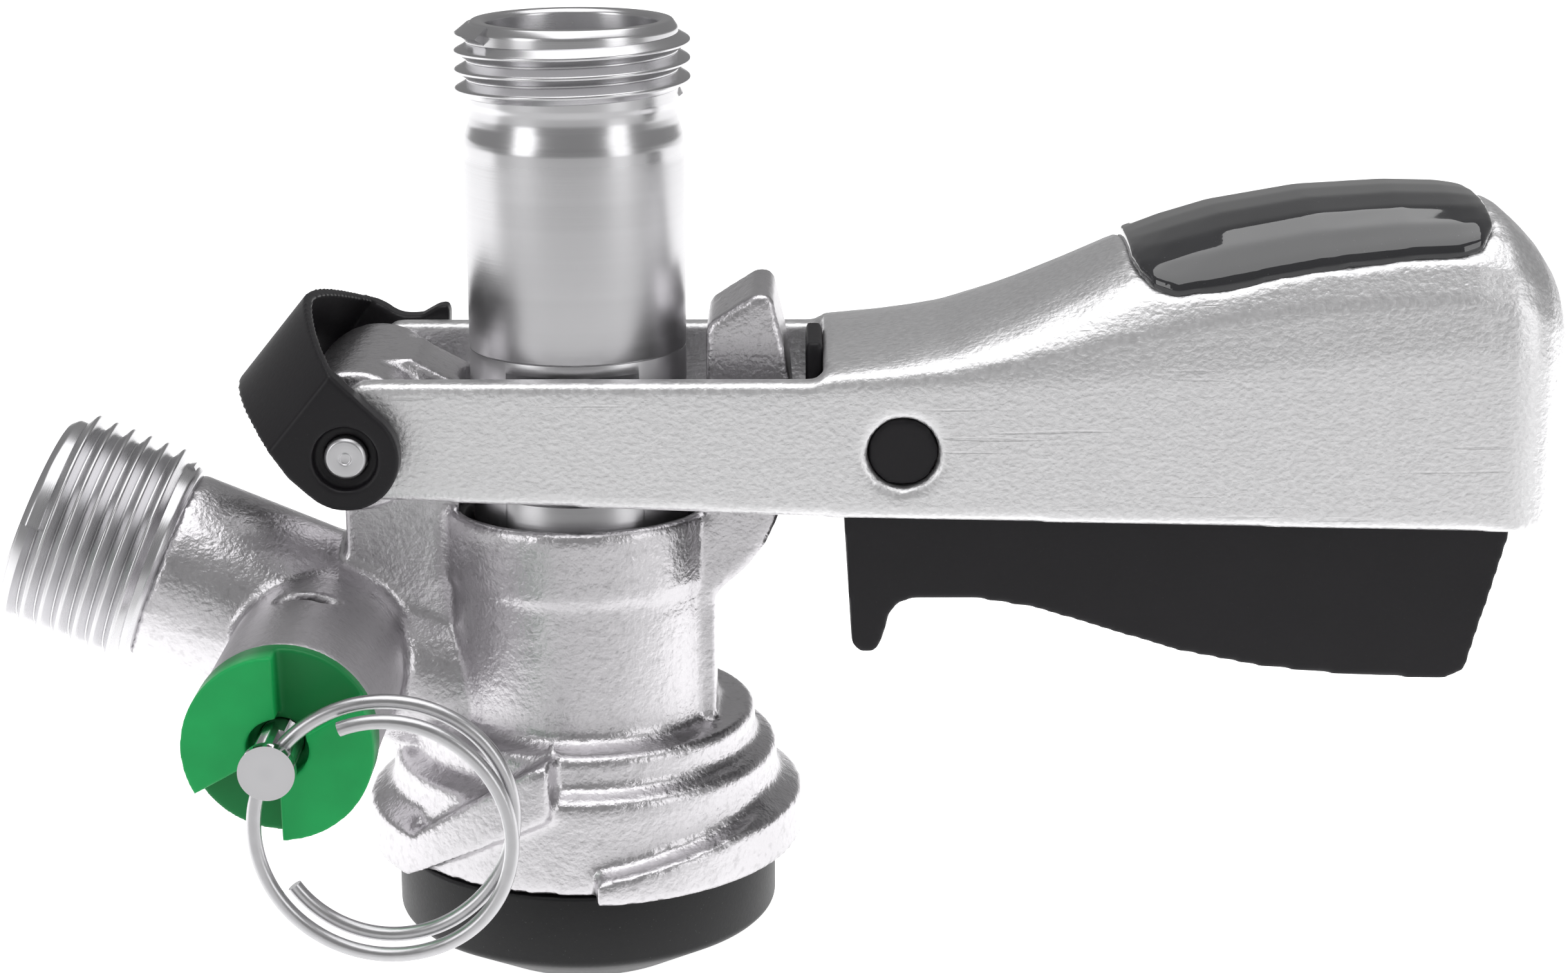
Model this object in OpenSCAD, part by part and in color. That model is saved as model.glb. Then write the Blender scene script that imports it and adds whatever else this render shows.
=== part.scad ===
// Keg coupler: a cast body that locks into a keg's neck, a probe that is pushed down by a
// lever, a squeeze trigger under the lever's handle, a gas inlet and a pressure relief valve.
// Millimetres. The probe's axis is Z, the handle points along +X, the relief valve along -Y,
// and the origin lies on the probe's axis at the underside of the body seal.

/* [Threads] */
// Outside diameter of both threads
thread_d = 22.911; // [21.5:0.001:24]
// Pitch of both threads
thread_pitch = 1.814; // [1.5:0.001:2]
// Depth of the thread, from crest to root
thread_depth = 1.16; // [0.8:0.02:1.3]

/* [Probe] */
// Height of the probe's rim above the body seal's underside, lever down
probe_rim_z = 95.1; // [92:0.1:100]
// Outside diameter of the probe's body
probe_d = 21.5; // [20.6:0.1:21.8]
// Diameter of the wide bore at the probe's mouth
mouth_bore_d = 16.7; // [15:0.1:17.5]
// Depth of the wide bore
mouth_bore_l = 13; // [8:0.5:16]
// Diameter of the beer bore
beer_bore_d = 9; // [7:0.1:10]
// Number of crests on the probe's thread
probe_crests = 4; // [3:1:5]
// Diameter of the turned neck below the thread
neck_d = 20.4; // [19.5:0.1:20.8]
// Length of the thread and neck together
neck_l = 10.6; // [10.2:0.1:12]
// Diameter of the probe's lower stem
stem_d = 15.6; // [14:0.1:16.4]
// Distance from the axis to each milled flat
flat_y = 8.6; // [8:0.1:9.4]
// Height of the milled flats
flat_h = 13; // [10:0.5:15]
// Height of the flats' upper edge
flat_top_z = 61.9; // [61.5:0.1:63]

/* [Body] */
// Outside diameter of the barrel
barrel_d = 27.2; // [26.6:0.1:28]
// Outside diameter of the collar on top of the barrel
collar_d = 28; // [27.4:0.1:29]
// Height of the collar's top
collar_top_z = 47.3; // [46:0.1:48]
// Height of the collar's underside
collar_low_z = 40.1; // [38:0.1:41]
// Outside diameter of the skirt
skirt_d = 39.2; // [38:0.1:40]
// Height of the skirt's lower edge
skirt_low_z = 12; // [11:0.1:13]
// Height of the skirt's upper edge
skirt_top_z = 21.7; // [20.5:0.1:23]
// Diameter of the shoulder ring above the skirt
ring_d = 34.8; // [33:0.1:36.5]
// Height of the shoulder ring's upper edge
ring_top_z = 25.5; // [24.5:0.1:27]
// Diameter of the gas chamber round the probe's stem
chamber_d = 22.4; // [21.9:0.1:23]

/* [Bayonet lugs] */
// Outside diameter across the two lugs
lug_d = 44.4; // [42:0.1:46]
// Height of the lugs' lower edge
lug_low_z = 11.7; // [10.8:0.1:12.4]
// Height of each lug's stop block
lug_stop_z = 24.6; // [23:0.1:25]

/* [Seals] */
// Outside diameter of the body seal
seal_d = 38.8; // [37:0.1:39]
// Diameter of the hole in the body seal
seal_hole_d = 19.4; // [18.6:0.1:20]
// Height of the seal's tapered underside
seal_taper_h = 4.6; // [3:0.1:6]
// Outside diameter of the probe's tip seal
tip_seal_d = 16.4; // [15:0.1:17]

/* [Hinge] */
// Distance from the probe's axis to the lever's hinge pin
pivot_reach = 21; // [20:0.1:22]
// Height of the hinge pin
pivot_z = 55.7; // [54.6:0.1:56.5]
// Diameter of the hinge pin
pin_d = 5; // [4:0.1:5.6]
// Diameter of the pin's ends, which carry the hood
pin_end_d = 4.1; // [3.4:0.1:4.6]
// Diameter of the cross barrel that carries the pin
ear_d = 14; // [12:0.2:15]
// Thickness of the web under the cross barrel
ear_w = 10; // [8:0.2:12]

/* [Latch post] */
// Thickness of the latch post
post_w = 13.6; // [11:0.2:15]
// Height of the latch post's top
post_top_z = 69.4; // [67:0.1:70.5]

/* [Gas inlet] */
// Angle of the gas inlet above horizontal, in degrees
gas_angle = 22.7; // [18:0.1:26]
// Distance from the relief valve's axis to the inlet's end face
gas_reach = 31.6; // [29:0.1:34]
// Diameter of the inlet's neck
gas_neck_d = 19.6; // [18:0.1:20.4]
// Number of crests on the inlet's thread
gas_crests = 7; // [5:1:8]
// Diameter of the inlet's bore
gas_bore_d = 8; // [6:0.2:9]
// Diameter of the pocket that holds the gas valve
gas_pocket_d = 15; // [13:0.2:16]
// Depth of that pocket
gas_pocket_l = 11; // [9:0.5:12.5]

/* [Relief valve] */
// Distance of the relief valve's axis from the probe's axis
relief_reach = 25.9; // [25:0.1:27]
// Height of the relief valve's axis
relief_z = 32.4; // [31.5:0.1:33.5]
// Outside diameter of the valve's boss
relief_d = 17.4; // [16.6:0.1:18]
// Distance from the probe's axis to the boss's front face
relief_face_y = 29; // [27:0.1:31]
// Diameter of the valve's bore
relief_bore_d = 11.6; // [10:0.2:12.4]
// Thickness of the cap's disc
cap_disc_h = 1.6; // [1.2:0.1:2.4]
// Height of the cap's two finger lobes
cap_lobe_h = 2.8; // [2:0.1:3.2]
// Diameter of the valve stem
relief_stem_d = 4.2; // [3.8:0.1:5]
// Diameter of the stem's end disc
stem_disc_d = 5.2; // [5:0.1:7]
// Travel of the valve when it is pulled
relief_travel = 1.2; // [1:0.1:1.6]

/* [Pull ring] */
// Outside diameter of the pull ring
pull_ring_d = 25.8; // [22:0.1:28]
// Diameter of the ring's wire
ring_wire_d = 1.15; // [1:0.05:1.2]
// Turns of wire in the ring
ring_turns = 2; // [2:1:3]
// Swing of the ring to the right of straight down, in degrees
ring_swing = 57; // [0:1:70]

/* [Lever] */
// Width over the two arms
lever_w = 29.8; // [29:0.1:31]
// Thickness of an arm
arm_t = 3; // [2.6:0.1:3.2]
// Height of the arms' upper edge
arm_top_z = 62.3; // [61.6:0.1:63]
// Height of the arms' lower edge at the hinge
arm_low_z = 50.9; // [50.4:0.1:51.4]
// Height of the handle's lower edge at its far end
handle_low_z = 47.3; // [46.5:0.1:48.5]
// Distance from the probe's axis to the start of the handle's roof
handle_start_x = 24.3; // [24:0.1:26]
// Distance from the probe's axis to the handle's far end
handle_end_x = 96.2; // [92:0.1:102]
// Rise of the handle's crown above the arms
handle_rise = 16; // [13:0.1:18]
// Wall of the handle's shell
handle_wall = 2.8; // [2.2:0.1:3.2]
// Lift of the lever, in degrees
lever_lift = 24; // [18:1:24]

/* [Label plate] */
// Length of the domed plate in the handle's top
label_l = 34.3; // [28:0.1:37]
// Width of the plate at its wide end
label_w = 26.2; // [22:0.1:26.6]
// Thickness of the plate
label_t = 1.5; // [1:0.1:2]

/* [Trigger] */
// Distance from the probe's axis to the trigger's pivot
trigger_x = 31.9; // [31:0.1:33]
// Height of the trigger's pivot
trigger_z = 55.4; // [54.8:0.1:56]
// Diameter of the trigger's pivot holes
trigger_hole_d = 6.9; // [6:0.1:7.2]
// Gap between each side of the trigger and the lever's arm
trigger_side_gap = 0.7; // [0.4:0.1:1.6]
// Depth of the grip's belly below the handle's lower edge at the hinge
trigger_drop = 19.4; // [17:0.1:21]
// Wall of the hollow grip
trigger_wall = 2.4; // [1.8:0.1:3]

/* [Hood] */
// Thickness of a hood ear
hood_ear_t = 2.6; // [2:0.1:2.8]
// Thickness of the hood's strap
hood_t = 1; // [0.9:0.1:1.3]
// Radius of the round end of a hood ear
hood_ear_r = 5.1; // [4.6:0.1:5.4]

/* [Hidden] */
$fn = 72;
// Overrun of every cut, and the radial clearance of every running fit
over = 1;
run_fit = 0.05;
// Gap between soft or seated pieces and what carries them
seat_gap = 0.3;

// Colours as the photograph shows them
cast_grey = [0.78, 0.77, 0.76];
turned_grey = [0.82, 0.83, 0.85];
handle_grey = [0.80, 0.80, 0.81];
rubber_black = [0.07, 0.07, 0.08];
plastic_black = [0.12, 0.12, 0.13];
cap_green = [0.08, 0.68, 0.33];
ring_steel = [0.72, 0.72, 0.72];

// Places worked out from the driving sizes
pivot_x = -pivot_reach;
relief_x = -relief_reach;
// The inlet's axis meets the relief valve's axis just above its centre
gas_x = relief_x;
gas_rise = 0.9;
gas_z = relief_z + gas_rise;
arm_in_y = lever_w / 2 - arm_t;
trigger_w = 2 * (arm_in_y - trigger_side_gap);
hood_w = lever_w + 2 * (seat_gap + hood_ear_t);
guide_r = probe_d / 2 + run_fit;

// Rods along Y, flat shapes in the XZ plane, and the inlet's own frame
module y_rod(r, y_from, y_to) {
    translate([0, y_to, 0]) rotate([90, 0, 0]) cylinder(h = y_to - y_from, r = r);
}
module xz_slab(half_w) {
    translate([0, half_w, 0]) rotate([90, 0, 0]) linear_extrude(height = 2 * half_w) children();
}
module at_pivot() {
    translate([pivot_x, 0, pivot_z]) children();
}
module at_relief() {
    translate([relief_x, 0, relief_z]) children();
}
module along_gas() {
    translate([gas_x, 0, gas_z]) rotate([0, gas_angle - 90, 0]) children();
}

// Ring-shaped thread outline, from root to root, starting at height z
crest_land_share = 0.16;
root_land_share = 0.16;
function thread_outline(z, crests) =
    let (major = thread_d / 2, minor = thread_d / 2 - thread_depth, p = thread_pitch,
         crest = crest_land_share * p / 2, root = root_land_share * p / 2)
    [for (i = [0 : crests - 1])
        for (q = [[minor, root], [major, p / 2 - crest], [major, p / 2 + crest], [minor, p - root]])
            [q[0], z + i * p + q[1]]];

// Closed skin over rings of points, and the triangles that join them
function skin_faces(rings, n) = concat(
    [for (i = [0 : rings - 2], j = [0 : n - 1]) [i * n + j, (i + 1) * n + j, i * n + (j + 1) % n]],
    [for (i = [0 : rings - 2], j = [0 : n - 1])
        [i * n + (j + 1) % n, (i + 1) * n + j, (i + 1) * n + (j + 1) % n]],
    [[for (j = [0 : n - 1]) j]],
    [[for (j = [n - 1 : -1 : 0]) (rings - 1) * n + j]]);
module skin(sections) {
    n = len(sections[0]);
    polyhedron(points = [for (s = sections) for (p = s) p], faces = skin_faces(len(sections), n));
}

// A wire wound round Z: one unbroken tube, with its least gap to itself
wire_sides = 6;
function wound_sections(r, wire_r, pitch, turns, rings_per_turn) =
    [for (i = [0 : turns * rings_per_turn])
        let (a = 360 * i / rings_per_turn)
        [for (k = [0 : wire_sides - 1])
            let (b = -360 * k / wire_sides, d = r + wire_r * cos(b))
            [d * cos(a), d * sin(a), pitch * i / rings_per_turn + wire_r * sin(b)]]];
function wound_gap(r, wire_r, pitch, turns, rings_per_turn) =
    let (c = [for (i = [0 : turns * rings_per_turn])
            let (a = 360 * i / rings_per_turn)
            [r * cos(a), r * sin(a), pitch * i / rings_per_turn]])
    min([for (i = [0 : len(c) - 1])
            for (j = [i + rings_per_turn / 2 : len(c) - 1]) norm(c[i] - c[j]) - 2 * wire_r]);
module wound(name, r, wire_r, pitch, turns, rings_per_turn) {
    echo(name, least_gap = wound_gap(r, wire_r, pitch, turns, rings_per_turn));
    skin(wound_sections(r, wire_r, pitch, turns, rings_per_turn));
}

// Body casting
// Edge breaks of the casting and heights of its inner steps
cast_edge = 0.5;
collar_rim = 1.4;
mouth_chamfer = 1.6;
bush_low_z = 36.5;
bush_wall = 1.9;
chamber_top_z = 31.5;
seal_recess_h = 3.4;
seal_neck_d = 34.6;
module body_outline() {
    polygon([
        [0, skirt_low_z],
        [skirt_d / 2, skirt_low_z],
        [skirt_d / 2, skirt_top_z - cast_edge],
        [skirt_d / 2 - cast_edge, skirt_top_z],
        [ring_d / 2, skirt_top_z + cast_edge],
        [ring_d / 2, ring_top_z - cast_edge],
        [ring_d / 2 - cast_edge, ring_top_z],
        [barrel_d / 2 + cast_edge, ring_top_z],
        [barrel_d / 2, ring_top_z + 2 * cast_edge],
        [barrel_d / 2, collar_low_z - cast_edge],
        [collar_d / 2, collar_low_z],
        [collar_d / 2, collar_top_z - cast_edge],
        [collar_d / 2 - cast_edge, collar_top_z],
        [0, collar_top_z]]);
}

// Bayonet lugs: a level run with a lead-in, then a ramp up to a stop block
lug_span = 168;
lug_start = -84;
lug_root_inset = 1.4;
lug_root_r = skirt_d / 2 - lug_root_inset;
lug_block_inset = 1.3;
lug_block_root_r = ring_d / 2 - lug_block_inset;
lug_foot = 1;
lug_front_h = 2.3;
lug_body_h = 4.8;
lug_slope = 1.9;
lug_block_h = 3.8;
// Shares of the lug's span at which each of its slanted faces starts and ends
lug_lead_shares = [-0.02, 0.21];
lug_ramp_shares = [0.75, 0.94];
lug_low_shares = [0.73, 1.01];
// Shift of the arc that draws the stop block in, and the angle it runs at
lug_arc_shift = 1.64;
lug_arc_turn = -48;
// Slab over (side 1) or under (side -1) the slanted plane between two shares of the span
module lug_slope_cut(shares, z_from, z_to, side) {
    half_angle = lug_span * (shares[1] - shares[0]) / 2;
    run = lug_d * sin(half_angle);
    turn = lug_start + lug_span * (shares[0] + shares[1]) / 2;
    rotate([0, 0, turn]) translate([0, -run / 2, z_from]) rotate([atan((z_to - z_from) / run), 0, 0])
        translate([lug_block_root_r - over, 0, side > 0 ? 0 : -lug_d / 2])
            cube([lug_d / 2, lug_d / 2, lug_d / 2]);
}
module lug() {
    level_z = lug_low_z + lug_body_h;
    r = lug_d / 2;
    neck_r = skirt_d / 2 - cast_edge;
    intersection() {
        difference() {
            rotate([0, 0, lug_start]) rotate_extrude(angle = lug_span) polygon([
                [lug_root_r, lug_low_z + lug_foot],
                [neck_r, lug_low_z + lug_foot],
                [neck_r + lug_foot, lug_low_z],
                [r, lug_low_z],
                [r, lug_stop_z],
                [neck_r, lug_stop_z + lug_slope],
                [lug_block_root_r, lug_stop_z + lug_slope],
                [lug_block_root_r, level_z + 2 * lug_slope],
                [lug_root_r, level_z + lug_slope]]);
            rotate([0, 0, lug_start - over])
                rotate_extrude(angle = lug_span * lug_ramp_shares[0] + 2 * over) polygon([
                    [lug_block_root_r - over, level_z + lug_slope],
                    [neck_r, level_z + lug_slope],
                    [r + over, level_z - lug_slope * over / (r - neck_r)],
                    [r + over, lug_stop_z + 2 * lug_slope],
                    [lug_block_root_r - over, lug_stop_z + 2 * lug_slope]]);
            lug_slope_cut(lug_lead_shares, lug_low_z + lug_front_h, level_z, 1);
            lug_slope_cut(lug_ramp_shares, level_z, lug_stop_z, 1);
            lug_slope_cut(lug_low_shares, lug_low_z, lug_stop_z - lug_block_h, -1);
        }
        rotate([0, 0, lug_arc_turn]) translate([lug_arc_shift, 0, lug_low_z - over])
            cylinder(h = lug_d, r = r);
    }
}

// Hinge ear: cross barrel on a web that slopes down to the probe
ear_web_l = 2.2;
ear_side_gap = 0.5;
ear_half_w = arm_in_y - ear_side_gap;
ear_foot_z = 33;
ear_slope_z = 59.6;
ear_top_x = -16;
ear_step = 0.2;
module hinge_ear() {
    at_pivot() y_rod(ear_d / 2, -ear_half_w, ear_half_w);
    xz_slab(ear_w / 2) polygon([
        [pivot_x - ear_web_l, ear_foot_z],
        [pivot_x - ear_web_l, pivot_z],
        [pivot_x, pivot_z + ear_d / 2 - ear_step],
        [ear_top_x, pivot_z + ear_d / 2 - ear_step],
        [-probe_d / 2, ear_slope_z],
        [-probe_d / 2, ear_foot_z]]);
}

// Latch post: its outer face is an arc round the hinge, so that the trigger passes it
post_x = 12.9;
post_arc_r = 42.35;
post_left_z = 66.3;
post_edge_z = 67.6;
post_foot_z = 38.6;
// The rounded crown, as shares of the way from its low left edge to the arc's top
post_crown_shares = [[1, 0], [0.985, 0.35], [0.93, 0.68], [0.86, 0.9], [0.76, 1], [0.67, 0.95], [0.57, 0.8],
    [0.06, 0.02]];
// Heights along the arc, as shares from the arc's start to the post's edge
post_arc_low_z = 51;
post_arc_shares = [0, 0.2, 0.4, 0.6, 0.8, 0.93, 1];
// The gusset's curve below the arc, as shares of its own width and height
post_gusset_shares = [[0, 0], [0.16, 0.1], [0.42, 0.24], [0.66, 0.42], [0.84, 0.66], [0.95, 0.86]];
function post_arc_x(z) = pivot_x + sqrt(pow(post_arc_r, 2) - pow(z - pivot_z, 2));
module latch_post() {
    gusset_w = post_arc_x(post_arc_low_z) - barrel_d / 2;
    gusset_h = post_arc_low_z - post_foot_z;
    xz_slab(post_w / 2) polygon(concat(
        [[0, post_foot_z]],
        [for (s = post_gusset_shares) [barrel_d / 2 + s[0] * gusset_w, post_foot_z + s[1] * gusset_h]],
        [for (s = post_arc_shares)
            let (z = post_arc_low_z + s * (post_edge_z - post_arc_low_z)) [post_arc_x(z), z]],
        [for (s = post_crown_shares)
            [post_x + s[0] * (post_arc_x(post_edge_z) - post_x),
             lookup(s[0], [[0, post_left_z], [1, post_edge_z + over / 4]])
             + s[1] * (post_top_z - post_edge_z)]],
        [[post_x, post_left_z - cast_edge],
         [post_x, collar_top_z - over], [0, collar_top_z - over]]));
}

// Raised pad down the barrel's right side
pad_w = 4.6;
pad_y = -4.2;
pad_proud = 0.7;
module side_pad() {
    translate([0, pad_y - pad_w / 2, ring_top_z - over])
        cube([sqrt(pow(barrel_d / 2, 2) - pow(pad_y, 2)) + pad_proud, pad_w,
              collar_low_z - ring_top_z - over + 2 * cast_edge]);
}

// Gas inlet: neck and ring thread on one slanted axis
gas_lead = 1.1;
gas_thread_l = gas_crests * thread_pitch;
gas_thread_low = gas_reach - gas_lead / 2 - gas_thread_l;
gas_inner_l = 16;
gas_neck_wall = 1.4;
gas_inner_r = gas_neck_d / 2 - gas_neck_wall;
module gas_neck() {
    minor = thread_d / 2 - thread_depth;
    along_gas() rotate_extrude() polygon(concat(
        [[0, -gas_inner_l], [gas_inner_r, -gas_inner_l], [gas_inner_r, 0], [gas_neck_d / 2, cast_edge],
         [gas_neck_d / 2, gas_thread_low - cast_edge]],
        thread_outline(gas_thread_low, gas_crests),
        [[minor, gas_reach - gas_lead / 2], [minor - gas_lead / 2, gas_reach], [0, gas_reach]]));
}

// Relief valve boss with its rounded back
boss_back_y = -3;
boss_back_r = 9.6;
vent_l = 6;
vent_w = 2;
vent_y = -14;
relief_back_y = -9;
relief_port_d = 5;
module relief_boss() {
    at_relief() {
        y_rod(relief_d / 2, -relief_face_y, boss_back_y);
        translate([0, boss_back_y, 0]) rotate([90, 0, 0]) sphere(r = boss_back_r);
    }
}
module relief_vent() {
    translate([relief_x, vent_y, relief_z]) hull() {
        for (side = [-1, 1]) translate([side * (vent_l - vent_w) / 2, 0, relief_bore_d / 2 - over])
            cylinder(h = relief_d, d = vent_w, $fn = 32);
    }
}

module body_bores() {
    // Probe way: seal recess, gas chamber, guide bore, bush seat and open mouth
    rotate_extrude() polygon([
        [0, skirt_low_z - over],
        [seal_neck_d / 2, skirt_low_z - over],
        [seal_neck_d / 2, skirt_low_z + seal_recess_h],
        [chamber_d / 2, skirt_low_z + seal_recess_h],
        [chamber_d / 2, chamber_top_z],
        [guide_r, chamber_top_z + (chamber_d / 2 - guide_r)],
        [guide_r, bush_low_z],
        [guide_r + bush_wall, bush_low_z],
        [guide_r + bush_wall, collar_top_z - mouth_chamfer],
        [collar_d / 2 - collar_rim, collar_top_z + over],
        [0, collar_top_z + over]]);
    // Way for the probe through the ear and past the post
    translate([0, 0, collar_top_z - cast_edge])
        cylinder(h = post_top_z, r = guide_r + bush_wall / 2);
    along_gas() cylinder(h = gas_reach + over, d = gas_bore_d);
    along_gas() translate([0, 0, -gas_inner_l - over]) cylinder(h = gas_inner_l + 2 * over, d = gas_bore_d);
    along_gas() translate([0, 0, gas_reach - gas_pocket_l]) cylinder(h = gas_pocket_l + over, d = gas_pocket_d);
    at_relief() y_rod(relief_bore_d / 2, -relief_face_y - over, relief_back_y);
    at_relief() y_rod(relief_port_d / 2, relief_back_y - over, 0);
    relief_vent();
    at_pivot() y_rod(pin_d / 2, -lever_w, lever_w);
}
module coupler_body() {
    color(cast_grey) difference() {
        union() {
            rotate_extrude() body_outline();
            for (side = [0, 180]) rotate([0, 0, side]) lug();
            hinge_ear();
            latch_post();
            side_pad();
            gas_neck();
            relief_boss();
        }
        body_bores();
    }
}

// Body seal: rim in the body's recess, side wall and tapered underside
seal_lip = 1.9;
module body_seal() {
    top = skirt_low_z + seal_recess_h - seat_gap;
    color(rubber_black) rotate_extrude() polygon([
        [seal_hole_d / 2, 0],
        [seal_hole_d / 2 + seal_lip, 0],
        [seal_d / 2 - cast_edge, seal_taper_h - cast_edge],
        [seal_d / 2, seal_taper_h],
        [seal_d / 2, skirt_low_z - seat_gap],
        [seal_neck_d / 2 - seat_gap, skirt_low_z - seat_gap],
        [seal_neck_d / 2 - seat_gap, top],
        [chamber_d / 2 + seal_lip, top],
        [chamber_d / 2 + seal_lip, seal_taper_h + seal_lip],
        [seal_hole_d / 2, seal_lip]]);
}

// Plastic bush that guides the probe in the collar
bush_run = 0.04;
module guide_bush() {
    color(plastic_black) rotate_extrude() polygon([
        [guide_r, bush_low_z],
        [guide_r + bush_wall - bush_run, bush_low_z],
        [guide_r + bush_wall - bush_run, collar_top_z - mouth_chamfer],
        [guide_r + bush_wall / 2, collar_top_z - mouth_chamfer],
        [guide_r, collar_top_z - 2 * mouth_chamfer]]);
}

// Probe
rim_chamfer = 0.5;
rim_lead = 0.9;
thread_relief_l = 1.5;
neck_radius = 0.9;
groove_w = 1.9;
groove_depth = 1.2;
o_ring_z = 33.6;
o_ring_low_z = 5.2;
stem_top_z = 31;
probe_tip_z = 1.4;
stud_hole_d = 6.6;
stud_hole_depth = 2.2;
stud_z = 58.6;
ball_d = 6.4;
cage_d = 10.6;
cage_h = 10;
seat_h = 2.4;
module probe_outline() {
    thread_low = probe_rim_z - rim_lead - probe_crests * thread_pitch + thread_pitch / 2;
    minor = thread_d / 2 - thread_depth;
    groove_r = probe_d / 2 - groove_depth;
    polygon(concat(
        [[0, probe_tip_z],
         [tip_seal_d / 2 - groove_depth - seat_gap, probe_tip_z],
         [tip_seal_d / 2 - groove_depth - seat_gap, probe_tip_z + groove_w],
         [stem_d / 2, probe_tip_z + groove_w],
         [stem_d / 2, o_ring_low_z],
         [stem_d / 2 - groove_depth, o_ring_low_z],
         [stem_d / 2 - groove_depth, o_ring_low_z + groove_w],
         [stem_d / 2, o_ring_low_z + groove_w],
         [stem_d / 2, stem_top_z - (probe_d - stem_d) / 2],
         [probe_d / 2, stem_top_z],
         [probe_d / 2, o_ring_z],
         [groove_r, o_ring_z],
         [groove_r, o_ring_z + groove_w],
         [probe_d / 2, o_ring_z + groove_w],
         [probe_d / 2, probe_rim_z - neck_l - neck_radius],
         [neck_d / 2, probe_rim_z - neck_l],
         [neck_d / 2, thread_low - thread_relief_l],
         [minor, thread_low - thread_relief_l + neck_radius / 2]],
        thread_outline(thread_low, probe_crests),
        [[minor, probe_rim_z - rim_chamfer],
         [minor - rim_chamfer, probe_rim_z],
         [0, probe_rim_z]]));
}
module probe() {
    color(turned_grey) difference() {
        rotate_extrude() probe_outline();
        // Mouth, beer bore and ball cage seat
        translate([0, 0, probe_rim_z - mouth_bore_l]) cylinder(h = mouth_bore_l + over, d = mouth_bore_d);
        cylinder(h = probe_rim_z, d = beer_bore_d);
        cylinder(h = 2 * cage_h, d = cage_d, center = true);
        for (side = [-1, 1]) {
            translate([-probe_d / 2, side > 0 ? flat_y : -flat_y - probe_d, flat_top_z - flat_h])
                cube([probe_d, probe_d, flat_h]);
            translate([0, 0, stud_z])
                y_rod(stud_hole_d / 2, side > 0 ? flat_y - stud_hole_depth : -flat_y - over,
                      side > 0 ? flat_y + over : -flat_y + stud_hole_depth);
        }
    }
}

// Soft rings on the probe
module probe_tip_seal() {
    inner = tip_seal_d / 2 - groove_depth;
    color(rubber_black) rotate_extrude() polygon([
        [cage_d / 2 + seat_gap, -probe_tip_z],
        [inner, -probe_tip_z],
        [tip_seal_d / 2, 0],
        [tip_seal_d / 2, probe_tip_z + groove_w - seat_gap],
        [inner, probe_tip_z + groove_w - seat_gap],
        [inner, probe_tip_z - seat_gap],
        [cage_d / 2 + seat_gap, probe_tip_z - seat_gap]]);
}
o_ring_wire = 1.15;
o_ring_squash = 0.02;
module probe_o_rings() {
    color(rubber_black) {
        translate([0, 0, o_ring_z + groove_w / 2]) rotate_extrude()
            translate([probe_d / 2 + o_ring_squash - o_ring_wire / 2, 0]) circle(d = o_ring_wire);
        translate([0, 0, o_ring_low_z + groove_w / 2]) rotate_extrude()
            translate([stem_d / 2 + o_ring_squash - o_ring_wire / 2, 0]) circle(d = o_ring_wire);
    }
}

// Studs pressed into the probe's flats, which ride in the lever's slots
stud_d = 5;
stud_grip = 1.5;
slot_play = 0.5;
slot_depth = 1.8;
slot_end_play = 0.5;
module drive_studs() {
    reach = arm_in_y + slot_depth - seat_gap;
    color(turned_grey) translate([0, 0, stud_z]) for (side = [-1, 1]) {
        y_rod(stud_hole_d / 2 - bush_run,
              side > 0 ? flat_y - stud_hole_depth : -flat_y + stud_hole_depth - stud_grip,
              side > 0 ? flat_y - stud_hole_depth + stud_grip : -flat_y + stud_hole_depth);
        y_rod(stud_d / 2, side > 0 ? flat_y - stud_hole_depth : -reach,
              side > 0 ? reach : -flat_y + stud_hole_depth);
    }
}

// Ball valve in the probe's foot
module check_ball() {
    color(plastic_black) translate([0, 0, ball_seat_z()]) sphere(d = ball_d);
}
seat_hole_d = 4.6;
function ball_seat_z() = seat_h + sqrt(pow(ball_d / 2, 2) - pow(seat_hole_d / 2, 2)) + seat_gap / 6;
module ball_retainer() {
    color(turned_grey) difference() {
        cylinder(h = cage_h - seat_gap, d = cage_d - 2 * bush_run);
        translate([0, 0, seat_h]) cylinder(h = cage_h, d = ball_d + 4 * seat_gap);
        translate([0, 0, -over]) cylinder(h = cage_h, d = seat_hole_d);
    }
}

// Gas valve: rubber duckbill in the inlet's pocket, held by a washer
duck_flange_h = 1.8;
duck_l = 6;
duck_wall = 1.1;
washer_h = 1.6;
module gas_check_valve() {
    flange_r = gas_pocket_d / 2 - seat_gap;
    top = gas_reach - washer_h - seat_gap - over;
    color(rubber_black) along_gas() translate([0, 0, top]) mirror([0, 0, 1]) rotate_extrude() polygon([
        [gas_bore_d / 2 - duck_wall, 0],
        [flange_r, 0],
        [flange_r, duck_flange_h],
        [gas_bore_d / 2 + duck_wall, duck_flange_h],
        [duck_wall, duck_l],
        [0, duck_l],
        [0, duck_l - duck_wall],
        [gas_bore_d / 2 - duck_wall, duck_flange_h]]);
}
module gas_valve_washer() {
    color(turned_grey) along_gas() translate([0, 0, gas_reach - washer_h - over]) difference() {
        cylinder(h = washer_h, d = gas_pocket_d - 2 * bush_run);
        translate([0, 0, -over]) cylinder(h = washer_h + 2 * over, d = gas_bore_d);
    }
}

// Hinge pin, stepped down at both ends for the hood
pin_end_inset = 0.2;
module hinge_pin() {
    end_y = hood_w / 2 - pin_end_inset;
    shoulder = lever_w / 2;
    color(ring_steel) at_pivot() {
        y_rod(pin_d / 2 - run_fit / 2, -shoulder, shoulder);
        y_rod(pin_end_d / 2, -end_y, end_y);
    }
}

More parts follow.
